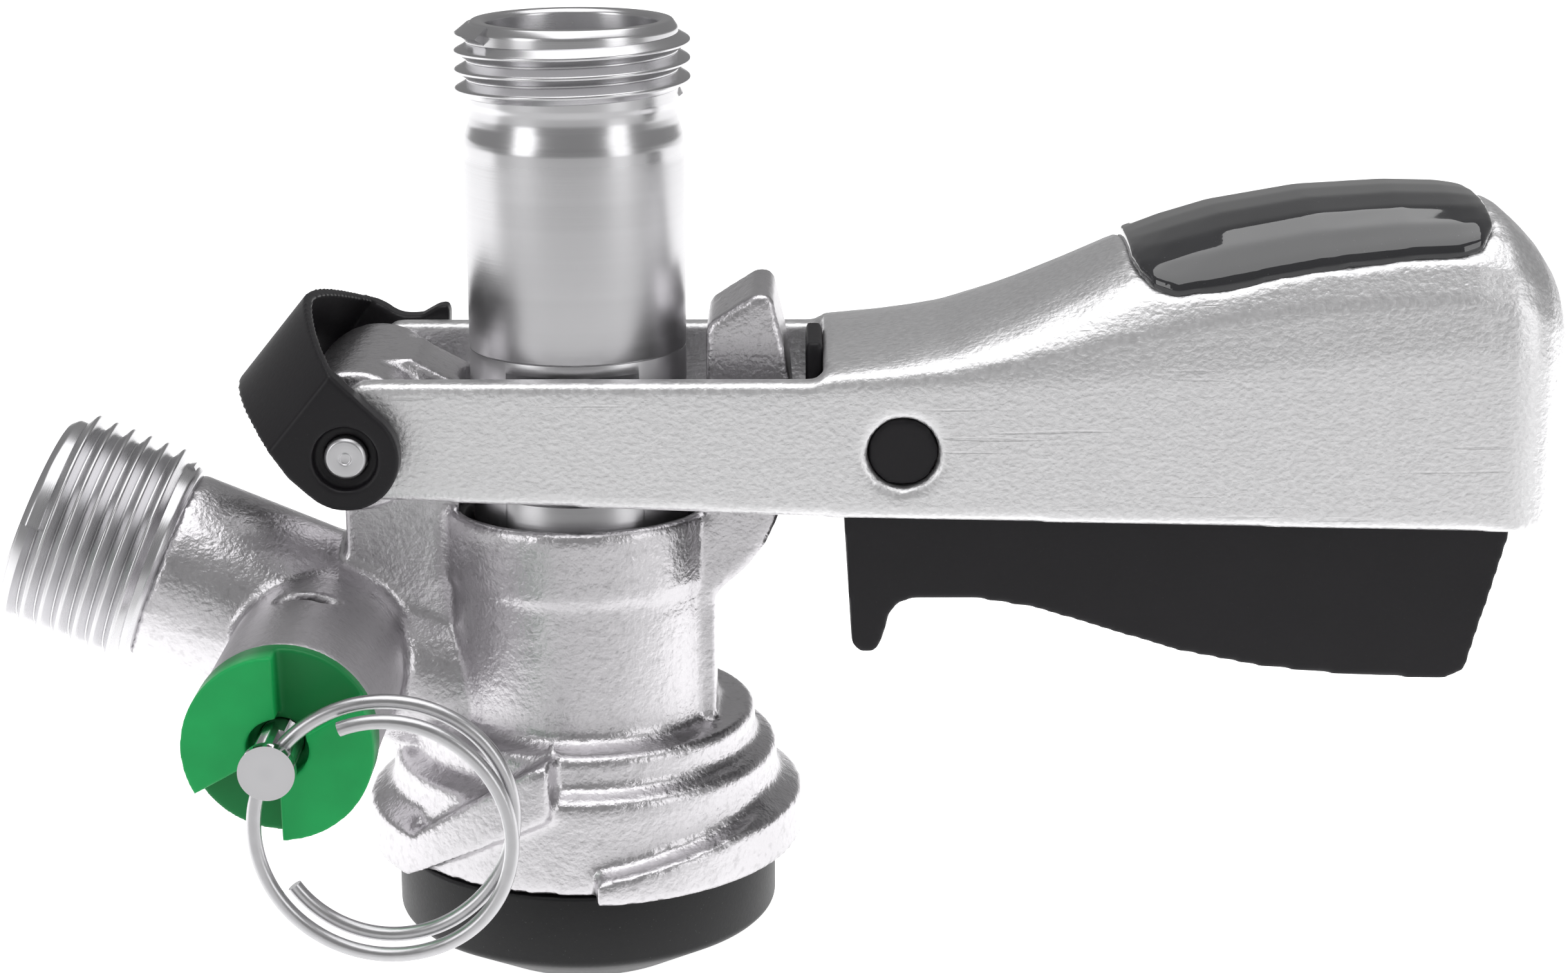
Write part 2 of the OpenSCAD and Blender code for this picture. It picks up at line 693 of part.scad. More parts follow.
// Lever: two arms and a hollow handle
// The stud moves outward in the slot as the lever lifts
slot_run = pivot_reach * (1 / cos(lever_lift) - 1) + (stud_z - pivot_z) * sin(lever_lift);
slot_back = stud_d / 2 + slot_end_play;
slot_front = slot_back + slot_run;
arm_end_r = 5;
handle_drop = 1.9;
function under_z(x) = lookup(x, [[pivot_x, arm_low_z], [handle_start_x, arm_low_z - handle_drop],
    [handle_end_x, handle_low_z]]);
// Crown and shoulder heights, as shares of the handle's length and rise
crown_shares = [[0, 0.09], [0.08, 0.14], [0.163, 0.215], [0.246, 0.355], [0.33, 0.52], [0.413, 0.695],
    [0.497, 0.835], [0.58, 0.925], [0.663, 0.975], [0.761, 1], [0.858, 0.99], [0.914, 0.92],
    [0.955, 0.76], [0.983, 0.57], [1, 0.3]];
side_shares = [[0, 0], [0.25, 0.01], [0.5, 0.06], [0.86, 0.2], [0.955, 0.12], [1, 0.02]];
width_shares = [[0, 1], [0.9, 1], [0.93, 0.985], [0.955, 0.93], [0.975, 0.84], [0.99, 0.72], [1, 0.56]];
station_shares = [0, 0.08, 0.165, 0.25, 0.33, 0.413, 0.497, 0.58, 0.663, 0.761, 0.858, 0.914, 0.94, 0.963,
    0.983, 0.993, 1];
inside_shares = [0, 0.12, 0.25, 0.37, 0.497, 0.62, 0.761, 0.88, 0.955, 1];
crown_power = 2.6;
inside_share = 0.96;
arc_steps = 12;
inside_arc_steps = 8;
handle_l = handle_end_x - handle_start_x;
function crown_z(s) = arm_top_z + handle_rise * lookup(s, crown_shares);
function side_z(s) = arm_top_z + handle_rise * lookup(s, side_shares);
function half_w(s) = lever_w / 2 * lookup(s, width_shares);
function roof_z(s, q) =
    side_z(s) + (crown_z(s) - side_z(s)) * pow(max(0, 1 - pow(abs(q), crown_power)), 1 / crown_power);
// Lateral shares bunched toward the edges, where the roof is steepest
function lateral(k, steps) = cos(180 * k / steps);
// One section of the handle, drawn in by a wall
function handle_section(x, s, wall, low, steps) =
    let (hw = half_w(s) - wall)
    concat([[x, hw, low]],
        [for (k = [0 : steps])
            [x, hw * lateral(k, steps), max(low + over, roof_z(s, lateral(k, steps)) - wall)]],
        [[x, -hw, low]]);
module handle_outside() {
    skin([for (s = station_shares)
        let (x = handle_start_x + s * handle_l) handle_section(x, s, 0, under_z(x), arc_steps)]);
}
module handle_inside() {
    inner_l = handle_l - handle_wall;
    skin([for (s = inside_shares)
        let (x = handle_start_x - over + s * (inner_l + over))
        handle_section(x, s * inside_share, handle_wall, handle_low_z - handle_wall, inside_arc_steps)]);
}
// Where the slope of the arm meets its round end, as shares of the end's radius
arm_nose_shares = [0.78, 0.62];
module arms() {
    for (side = [-1, 1]) translate([0, side * (arm_in_y + arm_t / 2), 0]) {
        xz_slab(arm_t / 2) polygon([
            [pivot_x, under_z(pivot_x)],
            [handle_start_x + over, under_z(handle_start_x + over)],
            [handle_start_x + over, arm_top_z],
            [pivot_x + arm_end_r / 4, arm_top_z],
            [pivot_x - arm_end_r * arm_nose_shares[0], pivot_z + arm_end_r * arm_nose_shares[1]],
            [pivot_x, pivot_z]]);
        at_pivot() y_rod(arm_end_r, -arm_t / 2, arm_t / 2);
    }
}
module label_recess() {
    label_slab(seat_gap / 2, over + label_t, label_floor);
}
module lever() {
    color(handle_grey) difference() {
        union() {
            arms();
            difference() {
                handle_outside();
                handle_inside();
            }
        }
        label_recess();
        at_pivot() y_rod(pin_d / 2 + run_fit / 2, -lever_w, lever_w);
        translate([trigger_x, 0, trigger_z]) y_rod(trigger_hole_d / 2, -lever_w, lever_w);
        // Blind slots for the probe's studs
        for (side = [-1, 1])
            translate([-slot_back, side > 0 ? arm_in_y - over : -arm_in_y - slot_depth,
                       stud_z - stud_d / 2 - slot_play])
                cube([slot_back + slot_front, slot_depth + over, stud_d + 2 * slot_play]);
    }
}

// Label plate: a domed inlay that follows the crown
label_start_share = 0.412;
label_floor = 0.9;
label_cols = 10;
// Half width along the plate, as shares of its length and of its widest half width
label_outline_shares = [[0, 0.5], [0.015, 0.72], [0.05, 0.9], [0.11, 0.985], [0.25, 1], [0.5, 0.98], [0.75, 0.955],
    [0.9, 0.94], [0.96, 0.88], [1, 0.66]];
// Places across the plate, closer together toward its edges
function label_q(k) = cos(180 * k / label_cols);
function label_point(u, q, grow, lift) =
    let (x = handle_start_x + label_start_share * handle_l + u * label_l + (2 * u - 1) * grow,
         w = label_w / 2 * lookup(u, label_outline_shares) + grow,
         s = (x - handle_start_x) / handle_l)
    [x, w * q, roof_z(s, w * q / half_w(s)) + lift];
module label_slab(grow, above, below) {
    skin([for (row = label_outline_shares)
        concat([for (k = [0 : label_cols]) label_point(row[0], label_q(k), grow, above)],
               [for (k = [label_cols : -1 : 0]) label_point(row[0], label_q(k), grow, -below)])]);
}
module label_plate() {
    color(plastic_black) label_slab(0, label_t - label_floor, label_floor - run_fit);
}

// Trigger: hollow grip with a front wall behind the latch post
trigger_front_x = 26.3;
trigger_pawl_x = 22.6;
trigger_pawl_t = 1.7;
trigger_pawl_top_z = 64;
trigger_pawl_w = 10;
trigger_guard_z = 34.3;
trigger_knee_z = 39.7;
trigger_roof_gap = 3.9;
trigger_top_z = arm_top_z - trigger_roof_gap;
pin_recess = 0.9;
belly_z = arm_low_z - trigger_drop;
belly_l = 47.8;
grip_reach = 7.7;
grip_x = trigger_x + grip_reach;
trigger_rear_l = 4;
trigger_rear_x = grip_x + belly_l + trigger_rear_l;
trigger_throat_h = 3;
trigger_shelf_h = 6.6;
trigger_shelf_drop = 4;
// The guard's hook from its front foot to the knee: run from the front face, as shares of the
// knee's run, and height as shares from the guard's tip to the knee
trigger_knee_l = 6.6;
guard_shares = [[0.12, 0.185], [0.18, 0.046], [0.27, 0], [0.42, 0], [0.53, 0.093], [0.61, 0.37],
    [0.68, 0.722], [0.8, 0.926], [1, 1]];
// The grip's rear end: how far each point lies before the rear face, and its height as a share
// from the belly to the trigger's top
rear_shares = [[1, 0.03], [0.1, 0.54], [0, 0.8]];
// Belly line from the knee to the rear corner, as shares of its length and drop
belly_shares = [[0, 0], [0.12, 0.12], [0.25, 0.36], [0.41, 0.65], [0.57, 0.84], [0.7, 0.93], [0.82, 0.98],
    [0.96, 1]];
module trigger_profile() {
    polygon(concat(
        [[trigger_front_x, trigger_top_z],
         [trigger_front_x, arm_low_z - trigger_throat_h]],
        [for (s = guard_shares)
            [trigger_front_x + s[0] * trigger_knee_l,
             trigger_guard_z + s[1] * (trigger_knee_z - trigger_guard_z)]],
        [for (s = belly_shares) [grip_x + s[0] * belly_l, trigger_knee_z + s[1] * (belly_z - trigger_knee_z)]],
        [for (s = rear_shares)
            [trigger_rear_x - s[0] * (trigger_rear_x - grip_x - belly_l),
             belly_z + s[1] * (trigger_top_z - belly_z)]],
        [[trigger_rear_x - 2 * trigger_throat_h, trigger_top_z]]));
}
// The grip's hollow, open at the top
module trigger_hollow() {
    low_x = trigger_x + trigger_hole_d / 2 + trigger_wall;
    polygon(concat(
        [[low_x, trigger_top_z + over], [low_x, trigger_knee_z + trigger_wall]],
        [for (s = belly_shares)
            [grip_x + s[0] * (belly_l - trigger_wall),
             trigger_knee_z + s[1] * (belly_z - trigger_knee_z) + trigger_wall]],
        [[trigger_rear_x - 2 * trigger_wall, trigger_top_z + over]]));
}
module trigger() {
    color(plastic_black) difference() {
        union() {
            xz_slab(trigger_w / 2) trigger_profile();
            translate([trigger_pawl_x, -trigger_pawl_w / 2, trigger_z - trigger_shelf_drop]) {
                cube([trigger_front_x - trigger_pawl_x + over, trigger_pawl_w, trigger_shelf_h]);
                cube([trigger_pawl_t, trigger_pawl_w, trigger_pawl_top_z - trigger_z + trigger_shelf_drop]);
            }
            translate([trigger_x, 0, trigger_z])
                y_rod(trigger_hole_d / 2 - run_fit, -lever_w / 2 + pin_recess, lever_w / 2 - pin_recess);
        }
        xz_slab(trigger_w / 2 - trigger_wall) trigger_hollow();
    }
}

// Spring between the grip's floor and the handle's roof
spring_x = 48;
spring_r = 3.4;
spring_wire = 0.9;
spring_curls = 8;
module trigger_spring() {
    low = lookup((spring_x - spring_r - grip_x) / belly_l, belly_shares) * (belly_z - trigger_knee_z)
        + trigger_knee_z + trigger_wall + seat_gap + spring_wire / 2;
    s = inside_share * (spring_x - spring_r - handle_start_x + over) / (handle_l - handle_wall + over);
    high = roof_z(s, spring_r / (half_w(s) - handle_wall)) - handle_wall - seat_gap - spring_wire / 2;
    color(ring_steel) translate([spring_x, 0, low]) rotate(180)
        wound("trigger_spring", spring_r, spring_wire / 2, (high - low) / spring_curls, spring_curls, 8);
}

// Hood: two ears on the pin's ends, joined by a strap bent round the back of the lever. Its own
// frame has the strap's reach from the pin as x, and its width as y
hood_tilt = 140.8;
hood_in_y = lever_w / 2 + seat_gap;
hood_sink = 1.2;
hood_sink_d = 6.2;
strap_power = 1.6;
strap_steps = 28;
// Reach of the strap at the ears and in the middle, as shares of the ear's radius
strap_edge_share = 1.18;
strap_mid_share = 2.41;
function strap_reach(q) =
    hood_ear_r * (strap_edge_share + (strap_mid_share - strap_edge_share) * (1 - pow(abs(q), strap_power)));
function strap_slope(q) =
    -hood_ear_r * (strap_mid_share - strap_edge_share) * strap_power * pow(abs(q), strap_power - 1)
    * sign(q) / (hood_w / 2);
function strap_point(q, wall) =
    let (n = norm([1, strap_slope(q)]))
    [strap_reach(q) - wall / n, q * hood_w / 2 + wall * strap_slope(q) / n];
// The strap's outline from the side, reach by width, as shares of the ear's radius
strap_side_shares = [[1, -1.09], [1.18, -1.1], [1.8, -1.12], [2.5, -1.18], [2.5, 1.06], [1.8, 0.9],
    [1.18, 0.8], [1, 0.78]];
// The ears' square corners, and the finger tab on the far ear, as shares of the same radius
ear_corner_shares = [[0, -1], [1.18, -1.1], [1.18, 0.8], [0.59, 0.97], [0, 1]];
tab_shares = [[-0.218, 1.594], [-0.12, 1.55], [-0.04, 1.51], [0.1, 1.41], [0.235, 1.34], [0.39, 1.31],
    [0.59, 1.31], [0.725, 1.33], [0.84, 1.4], [1.02, 1.5], [1.18, 1.54], [1.255, 1.5], [1.285, 1.39],
    [1.275, 1.12], [1.16, 0.69], [0.98, 0.2], [0, 0]];
module hood_strap() {
    qs = [for (i = [-strap_steps : strap_steps]) i / strap_steps];
    intersection() {
        rotate([0, -hood_tilt, 0]) translate([0, 0, -2 * hood_ear_r]) linear_extrude(height = 4 * hood_ear_r)
            polygon(concat(
                [for (q = qs) strap_point(q, 0)],
                [for (i = [2 * strap_steps : -1 : 0]) strap_point(qs[i], hood_t)]));
        xz_slab(hood_w / 2) rotate(hood_tilt) polygon(strap_side_shares * hood_ear_r);
    }
}
module hood_ear() {
    y_rod(hood_ear_r, -hood_w / 2, -hood_in_y);
    translate([0, -hood_in_y, 0]) rotate([90, 0, 0]) linear_extrude(height = hood_w / 2 - hood_in_y)
        rotate(hood_tilt) polygon(ear_corner_shares * hood_ear_r);
}
module hood_tab() {
    translate([0, hood_w / 2, 0]) rotate([90, 0, 0]) linear_extrude(height = hood_w / 2 - hood_in_y)
        polygon(tab_shares * hood_ear_r);
}
module hinge_hood() {
    color(plastic_black) difference() {
        union() {
            at_pivot() hood_strap();
            at_pivot() hood_tab();
            at_pivot() hood_ear();
            at_pivot() mirror([0, 1, 0]) hood_ear();
        }
        at_pivot() y_rod(pin_end_d / 2 + run_fit, -hood_w, hood_w);
        at_pivot() y_rod(hood_sink_d / 2, -hood_w, -hood_w / 2 + hood_sink);
        at_pivot() y_rod(hood_sink_d / 2, hood_w / 2 - hood_sink, hood_w);
    }
}

// Relief valve cap: threaded plug, disc and two finger lobes
cap_d = 17.8;
cap_plug_l = 5;
lobe_gap_from = 29;
lobe_gap_to = 91;
lobe_hole_d = 5.8;
cap_y = relief_face_y + seat_gap;
lobe_y = cap_y + cap_disc_h + cap_lobe_h;
cap_bore_d = relief_stem_d + 2 * run_fit;
module relief_cap() {
    color(cap_green) at_relief() difference() {
        union() {
            y_rod(cap_d / 2, -cap_y - cap_disc_h, -cap_y);
            y_rod(relief_bore_d / 2 - bush_run, -cap_y, -cap_y + cap_plug_l);
            difference() {
                y_rod(cap_d / 2, -lobe_y, -cap_y);
                for (side = [0, 180]) lobe_recess(side);
                y_rod(lobe_hole_d / 2, -lobe_y - over, -cap_y - cap_disc_h);
            }
        }
        y_rod(cap_bore_d / 2, -lobe_y - over, over);
    }
}
// Wedge between the lobes, from the valve's axis outward
module lobe_recess(side) {
    r = cap_d;
    mid = (lobe_gap_from + lobe_gap_to) / 2;
    translate([0, -cap_y - cap_disc_h, 0]) rotate([90, 0, 0]) linear_extrude(height = cap_lobe_h + over)
        rotate(side) polygon([
            [0, 0],
            [r * cos(lobe_gap_from), r * sin(lobe_gap_from)],
            [r * cos(mid), r * sin(mid)],
            [r * cos(lobe_gap_to), r * sin(lobe_gap_to)]]);
}

// Stem with its cross slot, on a poppet that slides while the stem turns
slot_y_low = lobe_y + seat_gap;
ring_gap = 0.42;
ring_pitch = ring_wire_d + ring_gap;
ring_stack = ring_wire_d + ring_pitch * ring_turns;
slot_y_high = slot_y_low + ring_stack + seat_gap;
disc_h = 1.1;
poppet_y = 13.3;
poppet_h = 2.4;
module relief_stem() {
    color(ring_steel) at_relief() difference() {
        union() {
            y_rod(relief_stem_d / 2, -slot_y_high - disc_h / 2, -poppet_y - seat_gap);
            y_rod(stem_disc_d / 2, -slot_y_high - disc_h, -slot_y_high);
        }
        rotate([0, -ring_swing, 0]) translate([-stem_disc_d, -slot_y_high, -ring_wire_d / 2 - seat_gap])
            cube([2 * stem_disc_d, slot_y_high - slot_y_low + seat_gap / 2, ring_wire_d + 2 * seat_gap]);
    }
}
module relief_poppet() {
    color(plastic_black) at_relief() difference() {
        y_rod(relief_bore_d / 2 - seat_gap, -poppet_y, -poppet_y + poppet_h);
        y_rod(relief_port_d / 4, -poppet_y - over, -poppet_y + poppet_h / 2);
    }
}
relief_seal_h = 1.6;
module relief_seal() {
    color(rubber_black) at_relief() difference() {
        y_rod(relief_bore_d / 2 - 2 * seat_gap, -poppet_y + poppet_h, -poppet_y + poppet_h + relief_seal_h);
        y_rod(relief_port_d / 4, -poppet_y, 0);
    }
}
relief_spring_r = 3.6;
relief_spring_wire = 0.8;
relief_curls = 5;
module relief_spring() {
    low = poppet_y + relief_travel + seat_gap + relief_spring_wire / 2;
    high = cap_y - cap_plug_l - seat_gap - relief_spring_wire / 2;
    color(ring_steel) at_relief() translate([0, -low, 0]) rotate([90, 0, 0])
        wound("relief_spring", relief_spring_r, relief_spring_wire / 2, (high - low) / relief_curls,
              relief_curls, 8);
}

// Split pull ring, threaded through the stem's slot
ring_start_turn = -160;
module pull_ring() {
    r = pull_ring_d / 2 - ring_wire_d / 2;
    color(ring_steel) at_relief() rotate([0, -ring_swing, 0])
        translate([0, -slot_y_low - seat_gap / 2 - ring_wire_d / 2, -r]) rotate([90, 0, 0])
            rotate(ring_start_turn) wound("pull_ring", r, ring_wire_d / 2, ring_pitch, ring_turns, 24);
}

coupler_body();
body_seal();
guide_bush();
probe();
probe_tip_seal();
probe_o_rings();
drive_studs();
check_ball();
ball_retainer();
gas_check_valve();
gas_valve_washer();
hinge_pin();
lever();
label_plate();
trigger();
trigger_spring();
hinge_hood();
relief_cap();
relief_stem();
relief_poppet();
relief_seal();
relief_spring();
pull_ring();
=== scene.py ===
"""Keg coupler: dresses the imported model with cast, turned, moulded and sprung pieces."""

import math

import bmesh
import bpy
from bpy.props import FloatProperty, FloatVectorProperty, IntProperty, PointerProperty
from mathutils import Matrix, Vector


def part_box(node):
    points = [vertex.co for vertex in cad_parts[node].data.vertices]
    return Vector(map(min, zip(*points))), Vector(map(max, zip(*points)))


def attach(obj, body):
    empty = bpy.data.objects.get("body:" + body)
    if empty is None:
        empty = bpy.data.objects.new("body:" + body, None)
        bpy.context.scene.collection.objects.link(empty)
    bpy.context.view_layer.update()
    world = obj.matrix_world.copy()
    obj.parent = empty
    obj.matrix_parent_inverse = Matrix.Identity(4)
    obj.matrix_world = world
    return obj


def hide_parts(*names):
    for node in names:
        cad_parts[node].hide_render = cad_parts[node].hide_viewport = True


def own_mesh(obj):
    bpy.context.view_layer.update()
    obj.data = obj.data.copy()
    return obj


bl_info = {
    "name": "Keg coupler",
    "version": (1, 0, 0),
    "blender": (4, 5, 0),
    "location": "3D View > Sidebar > Keg coupler",
    "description": "Builds the pieces and finishes of a keg coupler round its packed model",
    "category": "Object",
}

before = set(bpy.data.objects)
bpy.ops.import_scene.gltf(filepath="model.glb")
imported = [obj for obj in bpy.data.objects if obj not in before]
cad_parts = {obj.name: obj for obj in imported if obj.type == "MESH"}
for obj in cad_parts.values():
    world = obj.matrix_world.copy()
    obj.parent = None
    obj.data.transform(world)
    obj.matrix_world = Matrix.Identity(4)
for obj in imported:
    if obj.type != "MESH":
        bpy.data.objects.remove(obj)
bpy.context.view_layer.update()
MM = 0.001

# Axes of the object, in metres: a point on each and its direction
PROBE_AXIS = (Vector((0, 0, 0)), Vector((0, 0, 1)))
HINGE_POINT = Vector((-21.0, 0, 55.7)) * MM
HINGE_AXIS = (HINGE_POINT, Vector((0, -1, 0)))
RELIEF_POINT = Vector((-25.9, 0, 32.4)) * MM
RELIEF_AXIS = (RELIEF_POINT, Vector((0, -1, 0)))
GAS_POINT = Vector((-25.9, 0, 33.3)) * MM
GAS_TILT = math.radians(-67.3)
GAS_AXIS = (GAS_POINT, Vector((math.sin(GAS_TILT), 0, math.cos(GAS_TILT))))

# Where the turned gas inlet and the turned top of the probe take over from the CAD's shapes
GAS_CUT = 17.6 * MM
PROBE_CUT = 63 * MM

# Height of the cap's raised lobes
CAP_LOBE = 2.8 * MM

# The pull ring: how it hangs, where its first end is, and how far its wire runs, in degrees
RING_SWING = -57
RING_START = 157
RING_TRAVEL = 617

# The two springs, with the steps of one curl and the sides of their wire
GRIP_SPRING_WIRE = 0.9 * MM
GRIP_SPRING_CURLS = 8
VALVE_SPRING_WIRE = 0.8 * MM
VALVE_SPRING_R = 3.6 * MM
VALVE_SPRING_CURLS = 5
SPRING_STEPS = 32
SPRING_SIDES = 10

# The photographic frame: its focal length and width in pixels, and the sensor's width in millimetres
FOCAL_PX = 4805
FRAME_PX = 2436
SENSOR = 36


class CouplerSizes(bpy.types.PropertyGroup):
    """Sizes of the pieces that are made here rather than carried over."""

    thread_d: FloatProperty(
        name="Thread diameter", description="Outside diameter of both threads",
        default=22.911 * MM, unit="LENGTH", subtype="DISTANCE", precision=5)
    thread_depth: FloatProperty(
        name="Thread depth", description="From crest to root",
        default=1.16 * MM, unit="LENGTH", subtype="DISTANCE", precision=5)
    thread_pitch: FloatProperty(
        name="Thread pitch", description="Advance of the threads in one turn",
        default=1.814 * MM, unit="LENGTH", subtype="DISTANCE", precision=5)
    casting_grain: FloatProperty(
        name="Casting grain", description="Cell size of the castings' even skin",
        default=0.5 * MM, unit="LENGTH", subtype="DISTANCE", precision=5)
    moulding_grain: FloatProperty(
        name="Moulding grain", description="Cell size of the small mouldings' even skin",
        default=0.22 * MM, unit="LENGTH", subtype="DISTANCE", precision=5)
    ring_wire: FloatProperty(
        name="Ring wire", description="Diameter of the pull ring's wire",
        default=1.38 * MM, unit="LENGTH", subtype="DISTANCE", precision=5)
    ring_d: FloatProperty(
        name="Ring diameter", description="Outside diameter of the pull ring",
        default=25.8 * MM, unit="LENGTH", subtype="DISTANCE", precision=5)
    ring_steps: IntProperty(
        name="Ring steps", description="Steps in one turn of the pull ring", default=120)


class CouplerColours(bpy.types.PropertyGroup):
    """Base colours of the finishes."""

    cast_steel: FloatVectorProperty(
        name="Cast steel", description="Electropolished casting", subtype="COLOR",
        default=(0.66, 0.645, 0.665))
    turned_steel: FloatVectorProperty(
        name="Turned steel", description="Turned and drawn pieces", subtype="COLOR",
        default=(0.66, 0.655, 0.67))
    handle: FloatVectorProperty(
        name="Handle", description="Blasted aluminium of the lever", subtype="COLOR",
        default=(0.85, 0.845, 0.855))
    green: FloatVectorProperty(
        name="Cap green", description="Moulded relief valve cap", subtype="COLOR",
        default=(0.012, 0.42, 0.105))
    black: FloatVectorProperty(
        name="Plastic black", description="Hood, trigger and bush", subtype="COLOR",
        default=(0.0105, 0.0095, 0.0115))
    rubber: FloatVectorProperty(
        name="Rubber black", description="Seals", subtype="COLOR",
        default=(0.008, 0.008, 0.009))


class CouplerStudio(bpy.types.PropertyGroup):
    """Camera and lights."""

    camera_place: FloatVectorProperty(
        name="Camera place", description="Where the camera stands", subtype="XYZ", unit="LENGTH",
        default=(22.1 * MM, -300.0 * MM, 131.0 * MM), precision=5)
    camera_pitch: FloatProperty(
        name="Camera pitch", description="How far the camera looks down", subtype="ANGLE",
        unit="ROTATION", default=math.radians(15.44))
    camera_yaw: FloatProperty(
        name="Camera yaw", description="How far the camera looks to the right", subtype="ANGLE",
        unit="ROTATION", default=math.radians(-0.32))
    camera_roll: FloatProperty(
        name="Camera roll", description="Roll of the camera", subtype="ANGLE",
        unit="ROTATION", default=math.radians(-0.14))
    lens: FloatProperty(
        name="Lens", description="Focal length on a sensor 36 mm wide, in millimetres",
        default=FOCAL_PX / FRAME_PX * SENSOR)
    floor_z: FloatProperty(
        name="Floor height", description="Height of the floor under the probe's tip",
        default=-1.5 * MM, unit="LENGTH", subtype="DISTANCE", precision=5)
    sky: FloatProperty(
        name="Sky", description="Strength of the even white surround", default=0.27)
    key_power: FloatProperty(
        name="Key light", description="Power of the large overhead light, in watts", default=3.0)
    backdrop_glow: FloatProperty(
        name="Backdrop glow", description="Own light of the floor behind the object", default=1.0)


# Finishes


class Reading:
    """A value on its way through a finish. Sums written with it become Math nodes."""

    def __init__(self, finish, socket):
        self.finish = finish
        self.socket = socket

    def _sum(self, operation, first, second):
        return self.finish.node("ShaderNodeMath", {"operation": operation}, {0: first, 1: second})

    def __add__(self, other):
        return self._sum("ADD", self, other)

    def __radd__(self, other):
        return self._sum("ADD", other, self)

    def __sub__(self, other):
        return self._sum("SUBTRACT", self, other)

    def __rsub__(self, other):
        return self._sum("SUBTRACT", other, self)

    def __mul__(self, other):
        return self._sum("MULTIPLY", self, other)

    def __rmul__(self, other):
        return self._sum("MULTIPLY", other, self)

    def __truediv__(self, other):
        return self._sum("DIVIDE", self, other)


class Finish:
    """A material in the making, with the few patterns that the finishes share."""

    def __init__(self, name, **even):
        self.material = bpy.data.materials.new(name)
        self.material.use_nodes = True
        self.tree = self.material.node_tree
        self.surface = self.tree.nodes["Principled BSDF"]
        for socket, value in even.items():
            self.surface.inputs[socket.replace("_", " ")].default_value = value

    def node(self, kind, settings=None, sockets=None, out=0):
        """Adds a node: its settings first, then the values or links of its sockets."""
        made = self.tree.nodes.new(kind)
        for key, value in (settings or {}).items():
            if key == "stops":
                self._stops(made.color_ramp, value)
            else:
                setattr(made, key, value)
        for key, value in (sockets or {}).items():
            self.feed(made.inputs[key], value)
        return Reading(self, made.outputs[out])

    def _stops(self, ramp, stops):
        while len(ramp.elements) < len(stops):
            ramp.elements.new(0.5)
        for element, (position, shade) in zip(ramp.elements, stops):
            element.position = position
            element.color = (shade, shade, shade, 1)

    def feed(self, socket, value):
        """Links a reading to a socket, or sets the socket's own value."""
        if isinstance(value, Reading):
            self.tree.links.new(value.socket, socket)
        else:
            socket.default_value = value

    def place(self):
        return self.node("ShaderNodeTexCoord", out="Object")

    def stretched(self, place, scale, turn=(0, 0, 0)):
        """The place with a different scale along each axis, after a turn."""
        return self.node("ShaderNodeMapping", {"vector_type": "TEXTURE"}, {
            "Vector": place, "Rotation": turn,
            "Scale": tuple(1 / factor for factor in scale)})

    def cloud(self, place, scale, detail=2.0, roughness=0.5, distortion=0.0):
        """Soft noise from 0 to 1, with blotches about 1 / scale metres across."""
        return self.node("ShaderNodeTexNoise", {"noise_dimensions": "3D"}, {
            "Vector": place, "Scale": scale, "Detail": detail, "Roughness": roughness,
            "Distortion": distortion})

    def ramp(self, reading, *stops):
        return self.node("ShaderNodeValToRGB", {"stops": stops}, {"Fac": reading})

    def vector(self, operation, first, second, out=0):
        return self.node("ShaderNodeVectorMath", {"operation": operation},
                         {0: first, 1: second}, out=out)

    def split(self, place, axis):
        return self.node("ShaderNodeSeparateXYZ", None, {"Vector": place}, out=axis)

    def around(self, place, axis):
        """Distance along an axis and distance from it."""
        point, direction = axis
        rel = self.vector("SUBTRACT", place, tuple(point))
        along = self.vector("DOT_PRODUCT", rel, tuple(direction), out="Value")
        across = self.vector("CROSS_PRODUCT", rel, tuple(direction))
        reach = self.node("ShaderNodeVectorMath", {"operation": "LENGTH"}, {0: across}, out="Value")
        return along, reach

    def lines(self, reading, scale, detail=3.0):
        """Fine parallel lines that run where the reading is constant."""
        return self.node("ShaderNodeTexNoise", {"noise_dimensions": "1D"}, {
            "W": reading, "Scale": scale, "Detail": detail, "Roughness": 0.6})

    def blend(self, share, first, second):
        """Mixes two colours or readings of colour."""
        sockets = {0: share}
        for key, value in ((6, first), (7, second)):
            sockets[key] = value if isinstance(value, Reading) else (*value, 1)
        return self.node("ShaderNodeMix", {"data_type": "RGBA"}, sockets, out=2)

    def relief(self, height, depth, strength=1.0, under=None):
        """Bump whose full height is so many metres."""
        sockets = {"Height": height, "Distance": depth, "Strength": strength}
        if under is not None:
            sockets["Normal"] = under
        return self.node("ShaderNodeBump", None, sockets)

    def done(self, colour=None, roughness=None, normal=None):
        for socket, value in (("Base Color", colour), ("Roughness", roughness), ("Normal", normal)):
            if value is not None:
                self.feed(self.surface.inputs[socket], value)
        return self.material


def shade(colour, factor):
    """A colour made darker or lighter by a factor."""
    return tuple(min(1.0, part * factor) for part in colour)


